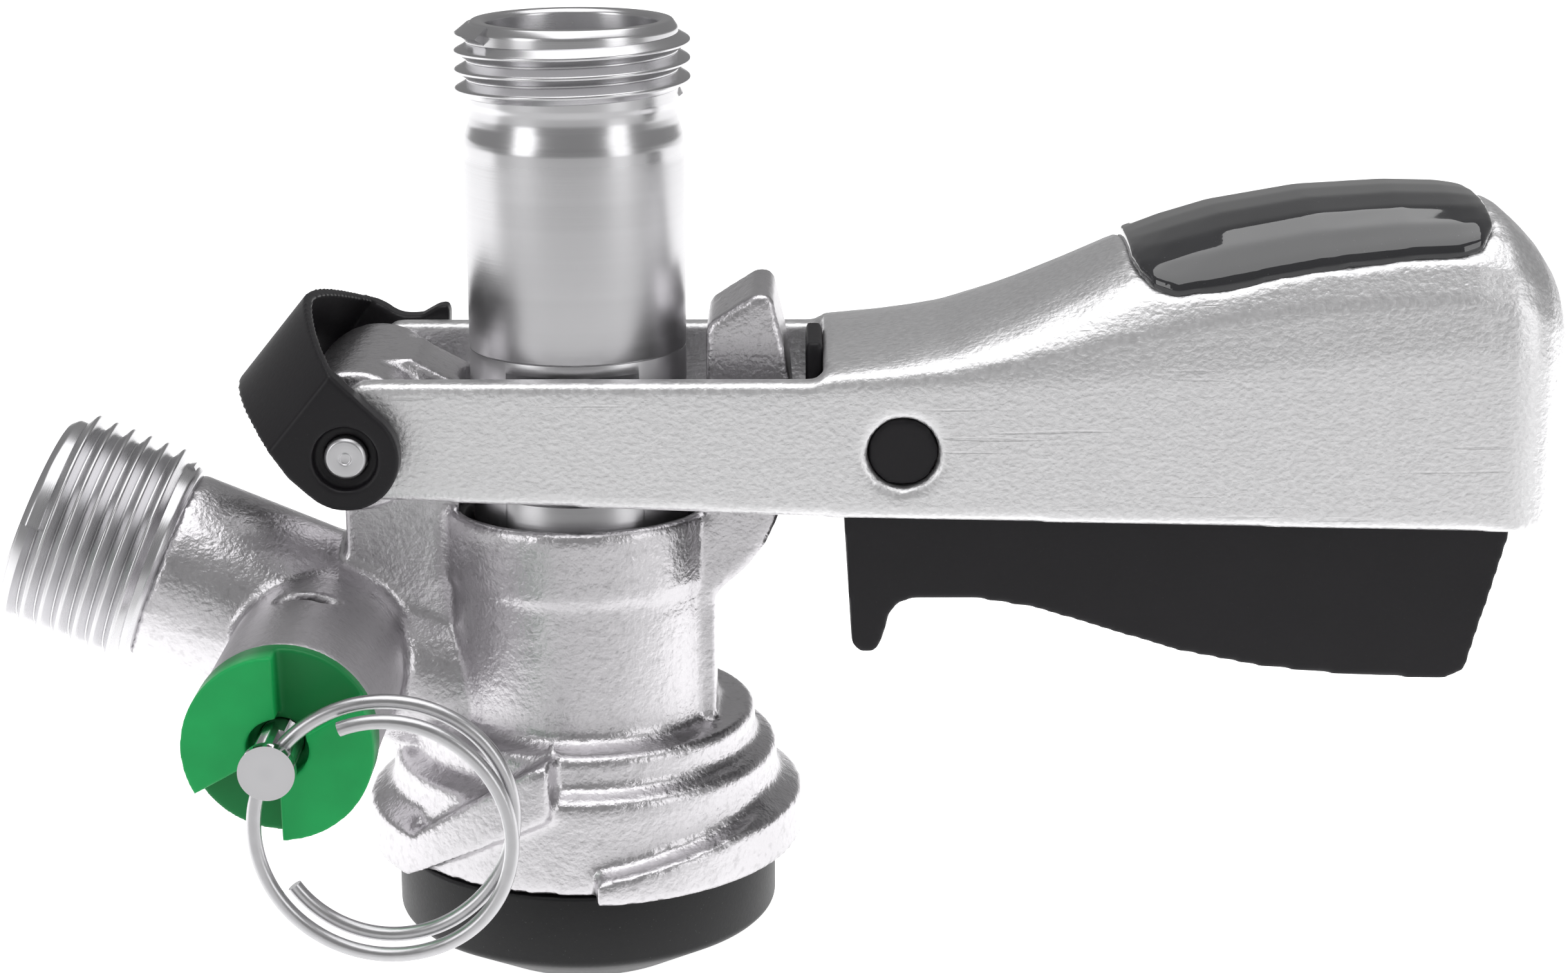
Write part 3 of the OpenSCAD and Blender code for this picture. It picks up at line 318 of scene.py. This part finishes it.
def cast_steel_finish(colours):
    """Investment casting, tumbled and electropolished: soft ripples and a fine orange peel."""
    finish = Finish("electropolished_casting", Metallic=1.0)
    place = finish.place()
    swell = finish.cloud(place, 150, 1)
    peel = finish.cloud(place, 700, 2, 0.5)
    grain = finish.cloud(place, 2500, 2)
    # The relief valve's boss is left duller than the polished barrel
    along, reach = finish.around(place, RELIEF_AXIS)
    dull = finish.ramp(along * 40, (0.35, 0.0), (0.85, 1.0))
    near = finish.ramp(reach * 60, (0.55, 1.0), (0.62, 0.0))
    dull = dull * near
    colour = finish.blend(swell, shade(colours.cast_steel, 0.95), shade(colours.cast_steel, 1.05))
    specks = finish.ramp(finish.cloud(place, 1300, 2), (0.28, 1.0), (0.45, 0.0))
    colour = finish.blend(specks * 0.5, colour, shade(colours.cast_steel, 0.7))
    colour = finish.blend(dull * 0.5, colour, shade(colours.cast_steel, 0.8))
    roughness = 0.24 + grain * 0.12 + swell * 0.04 + dull * 0.16
    ripples = finish.relief(peel * 0.8 + swell * 0.2, 0.13 * MM)
    normal = finish.relief(grain, 0.065 * MM, 1.0, ripples)
    return finish.done(colour, roughness, normal)


def turned_finish(name, axis, colours, roughness=0.16, depth=0.004):
    """Bright turned steel with rings of fine tool marks round one axis."""
    finish = Finish(name, Metallic=1.0)
    place = finish.place()
    along, reach = finish.around(place, axis)
    travel = along + reach
    marks = finish.lines(travel, 5200, 3)
    bands = finish.lines(travel, 420, 2)
    smear = finish.cloud(place, 160, 2)
    colour = finish.blend(bands, shade(colours.turned_steel, 0.93), shade(colours.turned_steel, 1.05))
    gloss = roughness + marks * 0.08 + bands * 0.08 + smear * 0.04
    normal = finish.relief(marks, depth * MM)
    return finish.done(colour, gloss, normal)


def probe_finish(colours):
    """The probe's turning: a polished neck and band over a finely lined stem."""
    finish = Finish("turned_probe", Metallic=1.0)
    place = finish.place()
    along, reach = finish.around(place, PROBE_AXIS)
    travel = along + reach
    marks = finish.lines(travel, 4300, 2)
    bands = finish.lines(travel, 380, 2)
    smear = finish.cloud(finish.stretched(place, (1, 1, 0.25)), 210, 3)
    stem = finish.ramp(along * 10, (0.818, 1.0), (0.822, 0.0))
    colour = finish.blend(bands, shade(colours.turned_steel, 0.92), shade(colours.turned_steel, 1.04))
    gloss = 0.18 + marks * 0.06 + smear * 0.08 + stem * (0.06 + bands * 0.06)
    depth = 0.25 + stem * 0.75
    normal = finish.relief(marks * depth + bands * 0.4, 0.004 * MM)
    return finish.done(colour, gloss, normal)


def handle_finish(colours):
    """Sand-cast aluminium under a thin satin coat: an even fine grain and a few long scratches."""
    finish = Finish("blasted_aluminium", Metallic=1.0)
    place = finish.place()
    sand = finish.cloud(finish.stretched(place, (0.8, 1, 1)), 2300, 2, 0.5)
    swell = finish.cloud(place, 60, 1)
    grooves = finish.cloud(finish.stretched(place, (0.04, 1, 1)), 1500, 1)
    scratch = finish.ramp(grooves, (0.72, 0.0), (0.78, 1.0))
    tone = finish.ramp(sand, (0.3, 0.0), (0.7, 1.0))
    colour = finish.blend(tone, shade(colours.handle, 0.93), shade(colours.handle, 1.04))
    colour = finish.blend(scratch * 0.3, colour, shade(colours.handle, 0.72))
    roughness = 0.34 + sand * 0.12 + swell * 0.04
    normal = finish.relief(sand - scratch * 0.25, 0.075 * MM)
    return finish.done(colour, roughness, normal)


def wire_finish(colours):
    """Drawn spring wire, bright with faint wear."""
    finish = Finish("drawn_wire", Metallic=1.0)
    place = finish.place()
    wear = finish.cloud(place, 700, 3)
    draw = finish.cloud(finish.stretched(place, (1, 4, 1)), 2200, 2)
    colour = finish.blend(wear, shade(colours.turned_steel, 0.82), shade(colours.turned_steel, 0.98))
    return finish.done(colour, 0.24 + wear * 0.14, finish.relief(draw, 0.006 * MM))


def plastic_finish(name, colour, gloss, grain_depth, scuff, painted_recess_shade=None):
    """Moulded plastic: fine spark-eroded grain, slight mottling, pale scuffs and, when given, painted shade
    that darkens a hollow.
    """
    finish = Finish(name)
    finish.surface.inputs["Specular IOR Level"].default_value = 0.32
    place = finish.place()
    grain = finish.cloud(place, 2400, 3, 0.6)
    mottle = finish.cloud(place, 240, 3)
    dust = finish.ramp(finish.cloud(place, 5200, 1), (0.72, 0.0), (0.8, 1.0))
    base = finish.blend(mottle, shade(colour, 0.85), shade(colour, 1.2))
    base = finish.blend(dust * scuff, base, tuple(0.5 * part + 0.12 for part in colour))
    # Painted shade: the hollow is blended toward half the colour, as if shade fell there
    if painted_recess_shade is not None:
        base = finish.blend(painted_recess_shade(finish, place), base, shade(colour, 0.5))
    roughness = gloss + grain * 0.12 + mottle * 0.05
    return finish.done(base, roughness, finish.relief(grain + mottle * 0.4, grain_depth * MM))


def cap_finish(colours):
    """The cap's moulded green, with painted shade darkening the sunken floor between its raised lobes."""
    low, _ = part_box("relief_cap")

    def painted_recess_shade(finish, place):
        along, _ = finish.around(place, RELIEF_AXIS)
        # Painted shade: none on the lobe tops, full from the sunken floor between them backward
        return finish.ramp((-low.y - along) / CAP_LOBE, (0.25, 0.0), (0.9, 1.0))

    return plastic_finish("moulded_cap", colours.green, 0.30, 0.008, 0.0, painted_recess_shade)


def label_finish(colours):
    """Clear domed resin over a near-black field, left bare."""
    finish = Finish("domed_resin", Roughness=0.05, Coat_Weight=1.0, Coat_Roughness=0.02)
    place = finish.place()
    swirl = finish.cloud(place, 160, 2)
    flecks = finish.ramp(finish.cloud(place, 4200, 1), (0.74, 0.0), (0.8, 1.0))
    base = finish.blend(swirl, (0.012, 0.012, 0.014), (0.03, 0.03, 0.034))
    base = finish.blend(flecks * 0.3, base, (0.2, 0.2, 0.21))
    return finish.done(base, None, finish.relief(swirl, 0.02 * MM))


FINISHES = {
    "cast_steel": cast_steel_finish,
    "probe": probe_finish,
    "gas_end": lambda colours: turned_finish("turned_inlet", GAS_AXIS, colours, 0.18, 0.006),
    "pin": lambda colours: turned_finish("turned_pin", HINGE_AXIS, colours, 0.24, 0.006),
    "stem": lambda colours: turned_finish("turned_stem", RELIEF_AXIS, colours, 0.14, 0.002),
    "handle": handle_finish,
    "wire": wire_finish,
    "label": label_finish,
    "trigger": lambda colours: plastic_finish("moulded_trigger", colours.black, 0.40, 0.012, 0.06),
    "hood": lambda colours: plastic_finish("moulded_hood", colours.black, 0.34, 0.014, 0.1),
    "cap": cap_finish,
    "rubber": lambda colours: plastic_finish("seal_rubber", colours.rubber, 0.34, 0.016, 0.3),
}


def finish_for(name):
    """The named finish, made the first time that it is asked for."""
    made = bpy.data.materials.get("coupler_" + name)
    if made is None:
        made = FINISHES[name](bpy.context.scene.coupler_colours)
        made.name = "coupler_" + name
    return made


# Bench tools


def cad_copy(node):
    """A merged copy of a carried-over node's loose triangles."""
    bm = bmesh.new()
    bm.from_mesh(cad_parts[node].data)
    bmesh.ops.remove_doubles(bm, verts=bm.verts, dist=0.001 * MM)
    return bm


def place_piece(name, bm, body, finish, replaces=(), crease=40):
    """Turns a bmesh into a piece that rides on a body."""
    if not bm.faces:
        raise RuntimeError(f"{name} came out empty")
    mesh = bpy.data.meshes.new(name)
    bm.to_mesh(mesh)
    bm.free()
    mesh.materials.append(finish_for(finish))
    mesh.shade_smooth()
    mesh.set_sharp_from_angle(angle=math.radians(crease))
    piece = bpy.data.objects.new(name, mesh)
    bpy.context.scene.collection.objects.link(piece)
    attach(piece, body)
    if replaces:
        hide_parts(*replaces)
    return piece


def recast(bm, grain, rounds, factor=0.5):
    """Gives a shape one even skin with softened edges, as a casting or moulding has."""
    rough = bpy.data.meshes.new("pattern")
    bm.to_mesh(rough)
    bm.free()
    pattern = bpy.data.objects.new("pattern", rough)
    bpy.context.scene.collection.objects.link(pattern)
    skin = pattern.modifiers.new("skin", "REMESH")
    skin.mode = "VOXEL"
    skin.voxel_size = grain
    even = bmesh.new()
    even.from_object(pattern, bpy.context.evaluated_depsgraph_get())
    bpy.data.objects.remove(pattern)
    bpy.data.meshes.remove(rough)
    if not even.verts:
        raise RuntimeError("the even skin came out empty")
    for _ in range(rounds):
        bmesh.ops.smooth_vert(even, verts=even.verts, factor=factor,
                              use_axis_x=True, use_axis_y=True, use_axis_z=True)
    return even


def chamfered(bm, width, segments=2, angle=32):
    """Breaks every sharp edge of a machined shape."""
    bmesh.ops.dissolve_limit(bm, angle_limit=math.radians(1.0), verts=bm.verts, edges=bm.edges)
    sharp = [edge for edge in bm.edges
             if len(edge.link_faces) == 2 and edge.calc_face_angle(0) > math.radians(angle)]
    bmesh.ops.bevel(bm, geom=sharp, offset=width, offset_type="OFFSET", affect="EDGES",
                    segments=segments, profile=0.5, material=-1, clamp_overlap=True)
    return bm


def eased(points, radius, bits=3):
    """A profile with each of its corners rounded."""
    out = [points[0]]
    for before, corner, after in zip(points, points[1:], points[2:]):
        a, b, c = Vector(before), Vector(corner), Vector(after)
        reach = min(radius, (a - b).length * 0.45, (c - b).length * 0.45)
        start = b + (a - b).normalized() * reach
        end = b + (c - b).normalized() * reach
        for bit in range(bits + 1):
            t = bit / bits
            out.append(tuple(start * (1 - t) ** 2 + b * 2 * t * (1 - t) + end * t ** 2))
    out.append(points[-1])
    return out


def turned(points, steps=128, closed=True):
    """Spins a profile of (radius, height) in millimetres round Z."""
    bm = bmesh.new()
    verts = [bm.verts.new((r * MM, 0, z * MM)) for r, z in points]
    pairs = list(zip(verts, verts[1:]))
    if closed:
        pairs.append((verts[-1], verts[0]))
    edges = [bm.edges.new(pair) for pair in pairs]
    bmesh.ops.spin(bm, geom=verts + edges, cent=(0, 0, 0), axis=(0, 0, 1), dvec=(0, 0, 0),
                   angle=2 * math.pi, steps=steps, use_merge=True)
    bmesh.ops.remove_doubles(bm, verts=bm.verts, dist=0.001 * MM)
    bmesh.ops.recalc_face_normals(bm, faces=bm.faces)
    return bm


def close_ends(bm):
    """Fills the open ends of a tube and turns its faces outward."""
    rims = [edge for edge in bm.edges if edge.is_boundary]
    bmesh.ops.holes_fill(bm, edges=rims, sides=0)
    bmesh.ops.recalc_face_normals(bm, faces=bm.faces)
    return bm


def screw_ridge(minor, major, pitch, low, high, steps=96):
    """A helical ridge between two heights in millimetres, with closed ends."""
    bm = bmesh.new()
    half = pitch / 2
    root, crest = 0.94 * half, 0.16 * half
    outline = [(minor - 0.4, -root), (minor, -root), (minor + 0.1 * (major - minor), -root * 0.86),
               (major - 0.12 * (major - minor), -crest * 1.5), (major, -crest * 0.6), (major, crest * 0.6),
               (major - 0.12 * (major - minor), crest * 1.5),
               (minor + 0.1 * (major - minor), root * 0.86), (minor, root), (minor - 0.4, root)]
    verts = [bm.verts.new((r * MM, 0, (low + z) * MM)) for r, z in outline]
    edges = [bm.edges.new(pair) for pair in zip(verts, verts[1:] + verts[:1])]
    turns = (high - low) / pitch
    count = round(steps * turns)
    bmesh.ops.spin(bm, geom=verts + edges, cent=(0, 0, 0), axis=(0, 0, 1),
                   dvec=(0, 0, (high - low) * MM / count), angle=2 * math.pi * turns, steps=count)
    close_ends(bm)
    return bm


def trim_ridge(bm, minor, low, high, slope):
    """Draws a ridge in toward its core near both ends, as a lead-in chamfer does."""
    for vert in bm.verts:
        reach = math.hypot(vert.co.x, vert.co.y)
        room = min(vert.co.z / MM - low, high - vert.co.z / MM)
        limit = (minor + slope * room) * MM
        if reach > limit:
            vert.co.x *= limit / reach
            vert.co.y *= limit / reach
    return bm


def joined(first, second):
    """One bmesh that holds both shapes."""
    mesh = bpy.data.meshes.new("joint")
    second.to_mesh(mesh)
    second.free()
    first.from_mesh(mesh)
    bpy.data.meshes.remove(mesh)
    return first


def moved(bm, matrix):
    bmesh.ops.transform(bm, matrix=matrix, verts=bm.verts)
    return bm


def wound_wire(radius, wire, pitch, turns, steps, sides):
    """Wire wound round Z from the +X side, in metres, with closed ends."""
    bm = bmesh.new()
    ring = bmesh.ops.create_circle(bm, cap_ends=False, segments=sides, radius=wire / 2)
    bmesh.ops.rotate(bm, verts=bm.verts, cent=(0, 0, 0), matrix=Matrix.Rotation(math.pi / 2, 3, "X"))
    bmesh.ops.translate(bm, verts=bm.verts, vec=(radius, 0, 0))
    count = round(steps * turns)
    bmesh.ops.spin(bm, geom=ring["verts"] + list(bm.edges), cent=(0, 0, 0), axis=(0, 0, 1),
                   dvec=(0, 0, pitch * turns / count), angle=2 * math.pi * turns, steps=count)
    return close_ends(bm)


def eased_between(stops, place):
    """A smooth value at a place between stops of (place, value)."""
    for (start, first), (end, second) in zip(stops, stops[1:]):
        if place <= end:
            share = (place - start) / (end - start)
            return first + (second - first) * share * share * (3 - 2 * share)
    return stops[-1][1]


def relief_frame(y):
    """From a shape turned round Z to the relief valve's axis, Z pointing at the viewer."""
    return Matrix.Translation(RELIEF_POINT + Vector((0, y, 0))) @ Matrix.Rotation(math.pi / 2, 4, "X")


# Pieces


class COUPLER_OT_body(bpy.types.Operator):
    """Cast body with a turned and threaded gas inlet"""

    bl_idname = "coupler.body"
    bl_label = "Cast body"

    def execute(self, context):
        sizes = context.scene.coupler_sizes
        bm = cad_copy("coupler_body")
        point, direction = GAS_AXIS
        cut = bmesh.ops.bisect_plane(
            bm, geom=bm.verts[:] + bm.edges[:] + bm.faces[:], dist=0.0001 * MM,
            plane_co=point + direction * GAS_CUT, plane_no=direction, clear_outer=True)
        rims = [item for item in cut["geom_cut"] if isinstance(item, bmesh.types.BMEdge)]
        bmesh.ops.triangle_fill(bm, use_beauty=True, edges=rims, normal=direction)
        bm = recast(bm, sizes.casting_grain, 3)
        place_piece("cast_body", bm, "body", "cast_steel", ["coupler_body"], 180)
        end = turned(eased([
            (4.0, 16.4), (9.0, 16.4), (9.0, 17.3), (9.95, 17.62), (10.3, 18.1), (10.3, 30.9),
            (9.7, 31.6), (7.9, 31.6), (7.5, 31.2), (7.5, 20.6), (4.0, 20.6), (4.0, 16.5)], 0.16))
        minor = (sizes.thread_d / 2 - sizes.thread_depth) / MM
        major = sizes.thread_d / 2 / MM
        pitch = sizes.thread_pitch / MM
        ridge = screw_ridge(minor, major, pitch, 18.3, 30.6)
        ridge = trim_ridge(ridge, minor - 0.25, 18.0, 31.35, 1.1)
        to_gas = Matrix.Translation(point) @ Matrix.Rotation(GAS_TILT, 4, "Y")
        place_piece("gas_inlet_end", moved(joined(end, ridge), to_gas), "body", "gas_end",
                    (), 50)
        return {"FINISHED"}


class COUPLER_OT_probe(bpy.types.Operator):
    """Turned probe with its threaded mouth, flats and cross studs"""

    bl_idname = "coupler.probe"
    bl_label = "Probe"

    def execute(self, context):
        sizes = context.scene.coupler_sizes
        lower = cad_copy("probe")
        cut = bmesh.ops.bisect_plane(
            lower, geom=lower.verts[:] + lower.edges[:] + lower.faces[:], dist=0.0001 * MM,
            plane_co=(0, 0, PROBE_CUT), plane_no=(0, 0, 1), clear_outer=True)
        rims = [item for item in cut["geom_cut"] if isinstance(item, bmesh.types.BMEdge)]
        bmesh.ops.triangle_fill(lower, use_beauty=True, edges=rims, normal=(0, 0, 1))
        lower = chamfered(lower, 0.16 * MM)
        upper = turned(eased([
            (4.5, 62.98), (10.75, 62.98), (10.75, 83.3), (10.66, 83.9), (10.3, 85.2), (10.2, 86.0),
            (10.2, 86.9), (10.296, 87.3), (10.296, 94.3), (9.75, 95.1),
            (8.75, 95.1), (8.35, 94.75), (8.35, 82.1), (4.5, 82.1), (4.5, 63.1)], 0.2), 160)
        minor = (sizes.thread_d / 2 - sizes.thread_depth) / MM
        major = sizes.thread_d / 2 / MM
        pitch = sizes.thread_pitch / MM
        ridge = screw_ridge(minor, major, pitch, 87.6, 94.15, 120)
        ridge = trim_ridge(ridge, minor - 0.25, 87.3, 94.95, 1.25)
        bm = joined(joined(upper, ridge), lower)
        place_piece("turned_probe", bm, "probe", "probe", ["probe"], 45)
        place_piece("cross_studs", chamfered(cad_copy("drive_studs"), 0.2 * MM), "probe",
                    "pin", ["drive_studs"])
        place_piece("ball_cage", chamfered(cad_copy("ball_retainer"), 0.15 * MM), "probe",
                    "probe", ["ball_retainer"])
        return {"FINISHED"}


class COUPLER_OT_lever(bpy.types.Operator):
    """Cast lever with two arms and a hollow handle"""

    bl_idname = "coupler.lever"
    bl_label = "Lever"

    def execute(self, context):
        bm = recast(cad_copy("lever"), context.scene.coupler_sizes.casting_grain, 3)
        place_piece("cast_lever", bm, "lever", "handle", ["lever"], 180)
        return {"FINISHED"}


class COUPLER_OT_label(bpy.types.Operator):
    """Domed resin plate in the handle's top"""

    bl_idname = "coupler.label"
    bl_label = "Domed plate"

    def execute(self, context):
        bm = recast(cad_copy("label_plate"), 0.25 * MM, 10)
        place_piece("domed_plate", bm, "lever", "label", ["label_plate"], 180)
        return {"FINISHED"}


class COUPLER_OT_trigger(bpy.types.Operator):
    """Moulded trigger with its catch, and the spring behind it"""

    bl_idname = "coupler.trigger"
    bl_label = "Trigger"

    def execute(self, context):
        bm = recast(cad_copy("trigger"), 0.4 * MM, 3)
        place_piece("moulded_trigger", bm, "trigger", "trigger", ["trigger"], 180)
        low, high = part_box("trigger_spring")
        wire = GRIP_SPRING_WIRE
        middle = (low + high) / 2
        radius = (high.x - low.x - wire) / 2
        pitch = (high.z - low.z - wire) / GRIP_SPRING_CURLS
        spring = wound_wire(radius, wire, pitch, GRIP_SPRING_CURLS, SPRING_STEPS, SPRING_SIDES)
        seat = Matrix.Translation((middle.x, middle.y, low.z + wire / 2))
        moved(spring, seat @ Matrix.Rotation(math.pi, 4, "Z"))
        piece = place_piece("grip_spring", spring, "lever", "wire", ["trigger_spring"])
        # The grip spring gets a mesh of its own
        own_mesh(piece)
        return {"FINISHED"}


class COUPLER_OT_hood(bpy.types.Operator):
    """Moulded hood with its tab, and the hinge pin that carries it"""

    bl_idname = "coupler.hood"
    bl_label = "Hood and hinge pin"

    def execute(self, context):
        bm = recast(cad_copy("hinge_hood"), context.scene.coupler_sizes.moulding_grain, 2)
        place_piece("moulded_hood", bm, "hood", "hood", ["hinge_hood"], 180)
        half = [(0, 17.4), (0.5, 17.42), (0.62, 17.58), (1.72, 17.6), (2.05, 17.3), (2.05, 14.95),
                (2.475, 14.9), (2.475, 0)]
        outline = half + [(r, -y) for r, y in reversed(half[:-1])]
        pin = turned(eased(outline, 0.12), 64, closed=False)
        to_hinge = Matrix.Translation(HINGE_POINT) @ Matrix.Rotation(math.pi / 2, 4, "X")
        place_piece("hinge_pin_turned", moved(pin, to_hinge), "body", "pin", ["hinge_pin"])
        return {"FINISHED"}


class COUPLER_OT_relief_valve(bpy.types.Operator):
    """Relief valve's moulded cap, turned stem and inner spring"""

    bl_idname = "coupler.relief_valve"
    bl_label = "Relief valve"

    def execute(self, context):
        bm = recast(cad_copy("relief_cap"), context.scene.coupler_sizes.moulding_grain, 2)
        place_piece("moulded_cap", bm, "body", "cap", ["relief_cap"], 180)
        place_piece("turned_stem", chamfered(cad_copy("relief_stem"), 0.22 * MM, 3), "stem",
                    "stem", ["relief_stem"])
        low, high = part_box("relief_spring")
        wire = VALVE_SPRING_WIRE
        pitch = (high.y - low.y - wire) / VALVE_SPRING_CURLS
        spring = wound_wire(VALVE_SPRING_R, wire, pitch, VALVE_SPRING_CURLS, SPRING_STEPS, SPRING_SIDES)
        moved(spring, relief_frame(high.y - wire / 2))
        place_piece("valve_spring", spring, "body", "wire", ["relief_spring"])
        return {"FINISHED"}


class COUPLER_OT_pull_ring(bpy.types.Operator):
    """Split pull ring of two close turns"""

    bl_idname = "coupler.pull_ring"
    bl_label = "Pull ring"

    def execute(self, context):
        sizes = context.scene.coupler_sizes
        wire = sizes.ring_wire
        radius = (sizes.ring_d - wire) / 2
        pitch = wire * 1.04
        turns = RING_TRAVEL / 360
        sides = 14
        bm = wound_wire(radius, wire, pitch, turns, sizes.ring_steps, sides)
        # Both ends lie inside the other strand; the strands cross on the right
        inward = ((0, 1.0), (90, 1.0), (205, 0.0), (440, 0.0), (560, 1.0), (RING_TRAVEL, 1.0))
        for number, vert in enumerate(bm.verts):
            travel = 360 * (number // sides) / sizes.ring_steps
            reach = math.hypot(vert.co.x, vert.co.y)
            slid = reach - wire * 1.02 * eased_between(inward, travel)
            vert.co.x *= slid / reach
            vert.co.y *= slid / reach
        low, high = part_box("pull_ring")
        depth = (low.y + high.y) / 2 - RELIEF_POINT.y + pitch * turns / 2
        middle = Matrix.Translation((0, depth, -radius))
        swing = Matrix.Rotation(math.radians(RING_SWING), 4, "Y")
        turn = Matrix.Rotation(math.pi / 2, 4, "X") @ Matrix.Rotation(math.radians(RING_START), 4, "Z")
        moved(bm, Matrix.Translation(RELIEF_POINT) @ swing @ middle @ turn)
        place_piece("split_ring", bm, "stem", "wire", ["pull_ring"])
        return {"FINISHED"}


class COUPLER_OT_seals(bpy.types.Operator):
    """Rubber seals and the plastic bush"""

    bl_idname = "coupler.seals"
    bl_label = "Seals and bush"

    def execute(self, context):
        for node, body, slot, finish, width in (
                ("body_seal", "body", "black_rubber", "rubber", 0.35),
                ("probe_tip_seal", "probe", "black_rubber", "rubber", 0.3),
                ("guide_bush", "body", "black_plastic", "trigger", 0.15)):
            bm = chamfered(cad_copy(node), width * MM, 3)
            place_piece(node + "_moulded", bm, body, finish, [node])
        return {"FINISHED"}


class COUPLER_OT_carried_nodes(bpy.types.Operator):
    """Finishes of the nodes that are carried over as they are"""

    bl_idname = "coupler.carried_nodes"
    bl_label = "Carried-over nodes"

    def execute(self, context):
        for node, finish in (
                ("probe_o_rings", "rubber"), ("check_ball", "trigger"), ("gas_check_valve", "rubber"),
                ("gas_valve_washer", "gas_end"), ("relief_poppet", "trigger"), ("relief_seal", "rubber")):
            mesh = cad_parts[node].data
            mesh.materials.clear()
            mesh.materials.append(finish_for(finish))
        return {"FINISHED"}


class COUPLER_OT_stage(bpy.types.Operator):
    """Pale floor, soft studio light and the camera"""

    bl_idname = "coupler.stage"
    bl_label = "Stage"

    def execute(self, context):
        studio = context.scene.coupler_studio
        self.floor(studio)
        self.surround(context, studio)
        self.light("overhead_softbox", (0.05, -0.05, 0.7), (0.02, 0, 0.04), 0.8, 0.7, studio.key_power)
        self.light("left_softbox", (-0.6, -0.5, 0.3), (0, 0, 0.05), 0.35, 0.5, studio.key_power * 0.34)
        self.light("right_softbox", (0.6, -0.45, 0.25), (0.03, 0, 0.05), 0.3, 0.5, studio.key_power * 0.26)
        self.camera(context, studio)
        return {"FINISHED"}

    def floor(self, studio):
        bm = bmesh.new()
        bmesh.ops.create_grid(bm, x_segments=1, y_segments=1, size=6)
        bmesh.ops.translate(bm, verts=bm.verts, vec=(0, 0, studio.floor_z))
        mesh = bpy.data.meshes.new("floor")
        bm.to_mesh(mesh)
        bm.free()
        finish = Finish("pale_floor", Roughness=0.7)
        finish.surface.inputs["Base Color"].default_value = (0.9, 0.9, 0.9, 1)
        finish.surface.inputs["Specular IOR Level"].default_value = 0.0
        finish.surface.inputs["Emission Strength"].default_value = studio.backdrop_glow
        far = finish.split(finish.place(), "Y")
        glow = finish.ramp(far * 2 + 0.5, (0.36, 0.08), (0.47, 1.0))
        finish.feed(finish.surface.inputs["Emission Color"], glow)
        mesh.materials.append(finish.material)
        floor = bpy.data.objects.new("floor", mesh)
        bpy.context.scene.collection.objects.link(floor)

    def surround(self, context, studio):
        world = bpy.data.worlds.new("studio")
        world.use_nodes = True
        world.node_tree.nodes["Background"].inputs["Color"].default_value = (1, 1, 1, 1)
        world.node_tree.nodes["Background"].inputs["Strength"].default_value = studio.sky
        context.scene.world = world
        context.scene.view_settings.view_transform = "Standard"

    def light(self, name, place, target, width, height, power):
        lamp = bpy.data.lights.new(name, "AREA")
        lamp.shape = "RECTANGLE"
        lamp.size, lamp.size_y = width, height
        lamp.energy = power
        light = bpy.data.objects.new(name, lamp)
        light.location = place
        aim = Vector(target) - Vector(place)
        light.rotation_mode = "QUATERNION"
        light.rotation_quaternion = aim.to_track_quat("-Z", "Y")
        bpy.context.scene.collection.objects.link(light)

    def camera(self, context, studio):
        yaw, pitch, roll = studio.camera_yaw, studio.camera_pitch, studio.camera_roll
        ahead = Vector((math.sin(yaw) * math.cos(pitch), math.cos(yaw) * math.cos(pitch), -math.sin(pitch)))
        level = Vector((math.cos(yaw), -math.sin(yaw), 0))
        over = level.cross(ahead)
        right = level * math.cos(roll) + over * math.sin(roll)
        up = over * math.cos(roll) - level * math.sin(roll)
        lens = bpy.data.cameras.new("camera")
        lens.sensor_width = SENSOR
        lens.lens = studio.lens
        lens.clip_start = 0.01
        camera = bpy.data.objects.new("camera", lens)
        camera.matrix_world = Matrix.Translation(studio.camera_place) @ Matrix((
            (right.x, up.x, -ahead.x, 0), (right.y, up.y, -ahead.y, 0), (right.z, up.z, -ahead.z, 0),
            (0, 0, 0, 1)))
        context.scene.collection.objects.link(camera)
        context.scene.camera = camera


STEPS = (COUPLER_OT_body, COUPLER_OT_probe, COUPLER_OT_lever, COUPLER_OT_label, COUPLER_OT_trigger,
         COUPLER_OT_hood, COUPLER_OT_relief_valve, COUPLER_OT_pull_ring, COUPLER_OT_seals,
         COUPLER_OT_carried_nodes, COUPLER_OT_stage)


class COUPLER_PT_panel(bpy.types.Panel):
    """Lists the coupler's settings and steps"""

    bl_idname = "COUPLER_PT_panel"
    bl_label = "Keg coupler"
    bl_space_type = "VIEW_3D"
    bl_region_type = "UI"
    bl_category = "Keg coupler"

    def draw(self, context):
        for group in (context.scene.coupler_sizes, context.scene.coupler_colours,
                      context.scene.coupler_studio):
            box = self.layout.box()
            for name in group.__annotations__:
                box.prop(group, name)
        for step in STEPS:
            self.layout.operator(step.bl_idname)


CLASSES = (CouplerSizes, CouplerColours, CouplerStudio, *STEPS, COUPLER_PT_panel)


def register():
    for cls in CLASSES:
        bpy.utils.register_class(cls)
    bpy.types.Scene.coupler_sizes = PointerProperty(type=CouplerSizes)
    bpy.types.Scene.coupler_colours = PointerProperty(type=CouplerColours)
    bpy.types.Scene.coupler_studio = PointerProperty(type=CouplerStudio)


def unregister():
    del bpy.types.Scene.coupler_studio
    del bpy.types.Scene.coupler_colours
    del bpy.types.Scene.coupler_sizes
    for cls in reversed(CLASSES):
        bpy.utils.unregister_class(cls)


def main():
    register()
    bpy.ops.coupler.body()
    bpy.ops.coupler.probe()
    bpy.ops.coupler.lever()
    bpy.ops.coupler.label()
    bpy.ops.coupler.trigger()
    bpy.ops.coupler.hood()
    bpy.ops.coupler.relief_valve()
    bpy.ops.coupler.pull_ring()
    bpy.ops.coupler.seals()
    bpy.ops.coupler.carried_nodes()
    bpy.ops.coupler.stage()


if __name__ == "__main__":
    main()
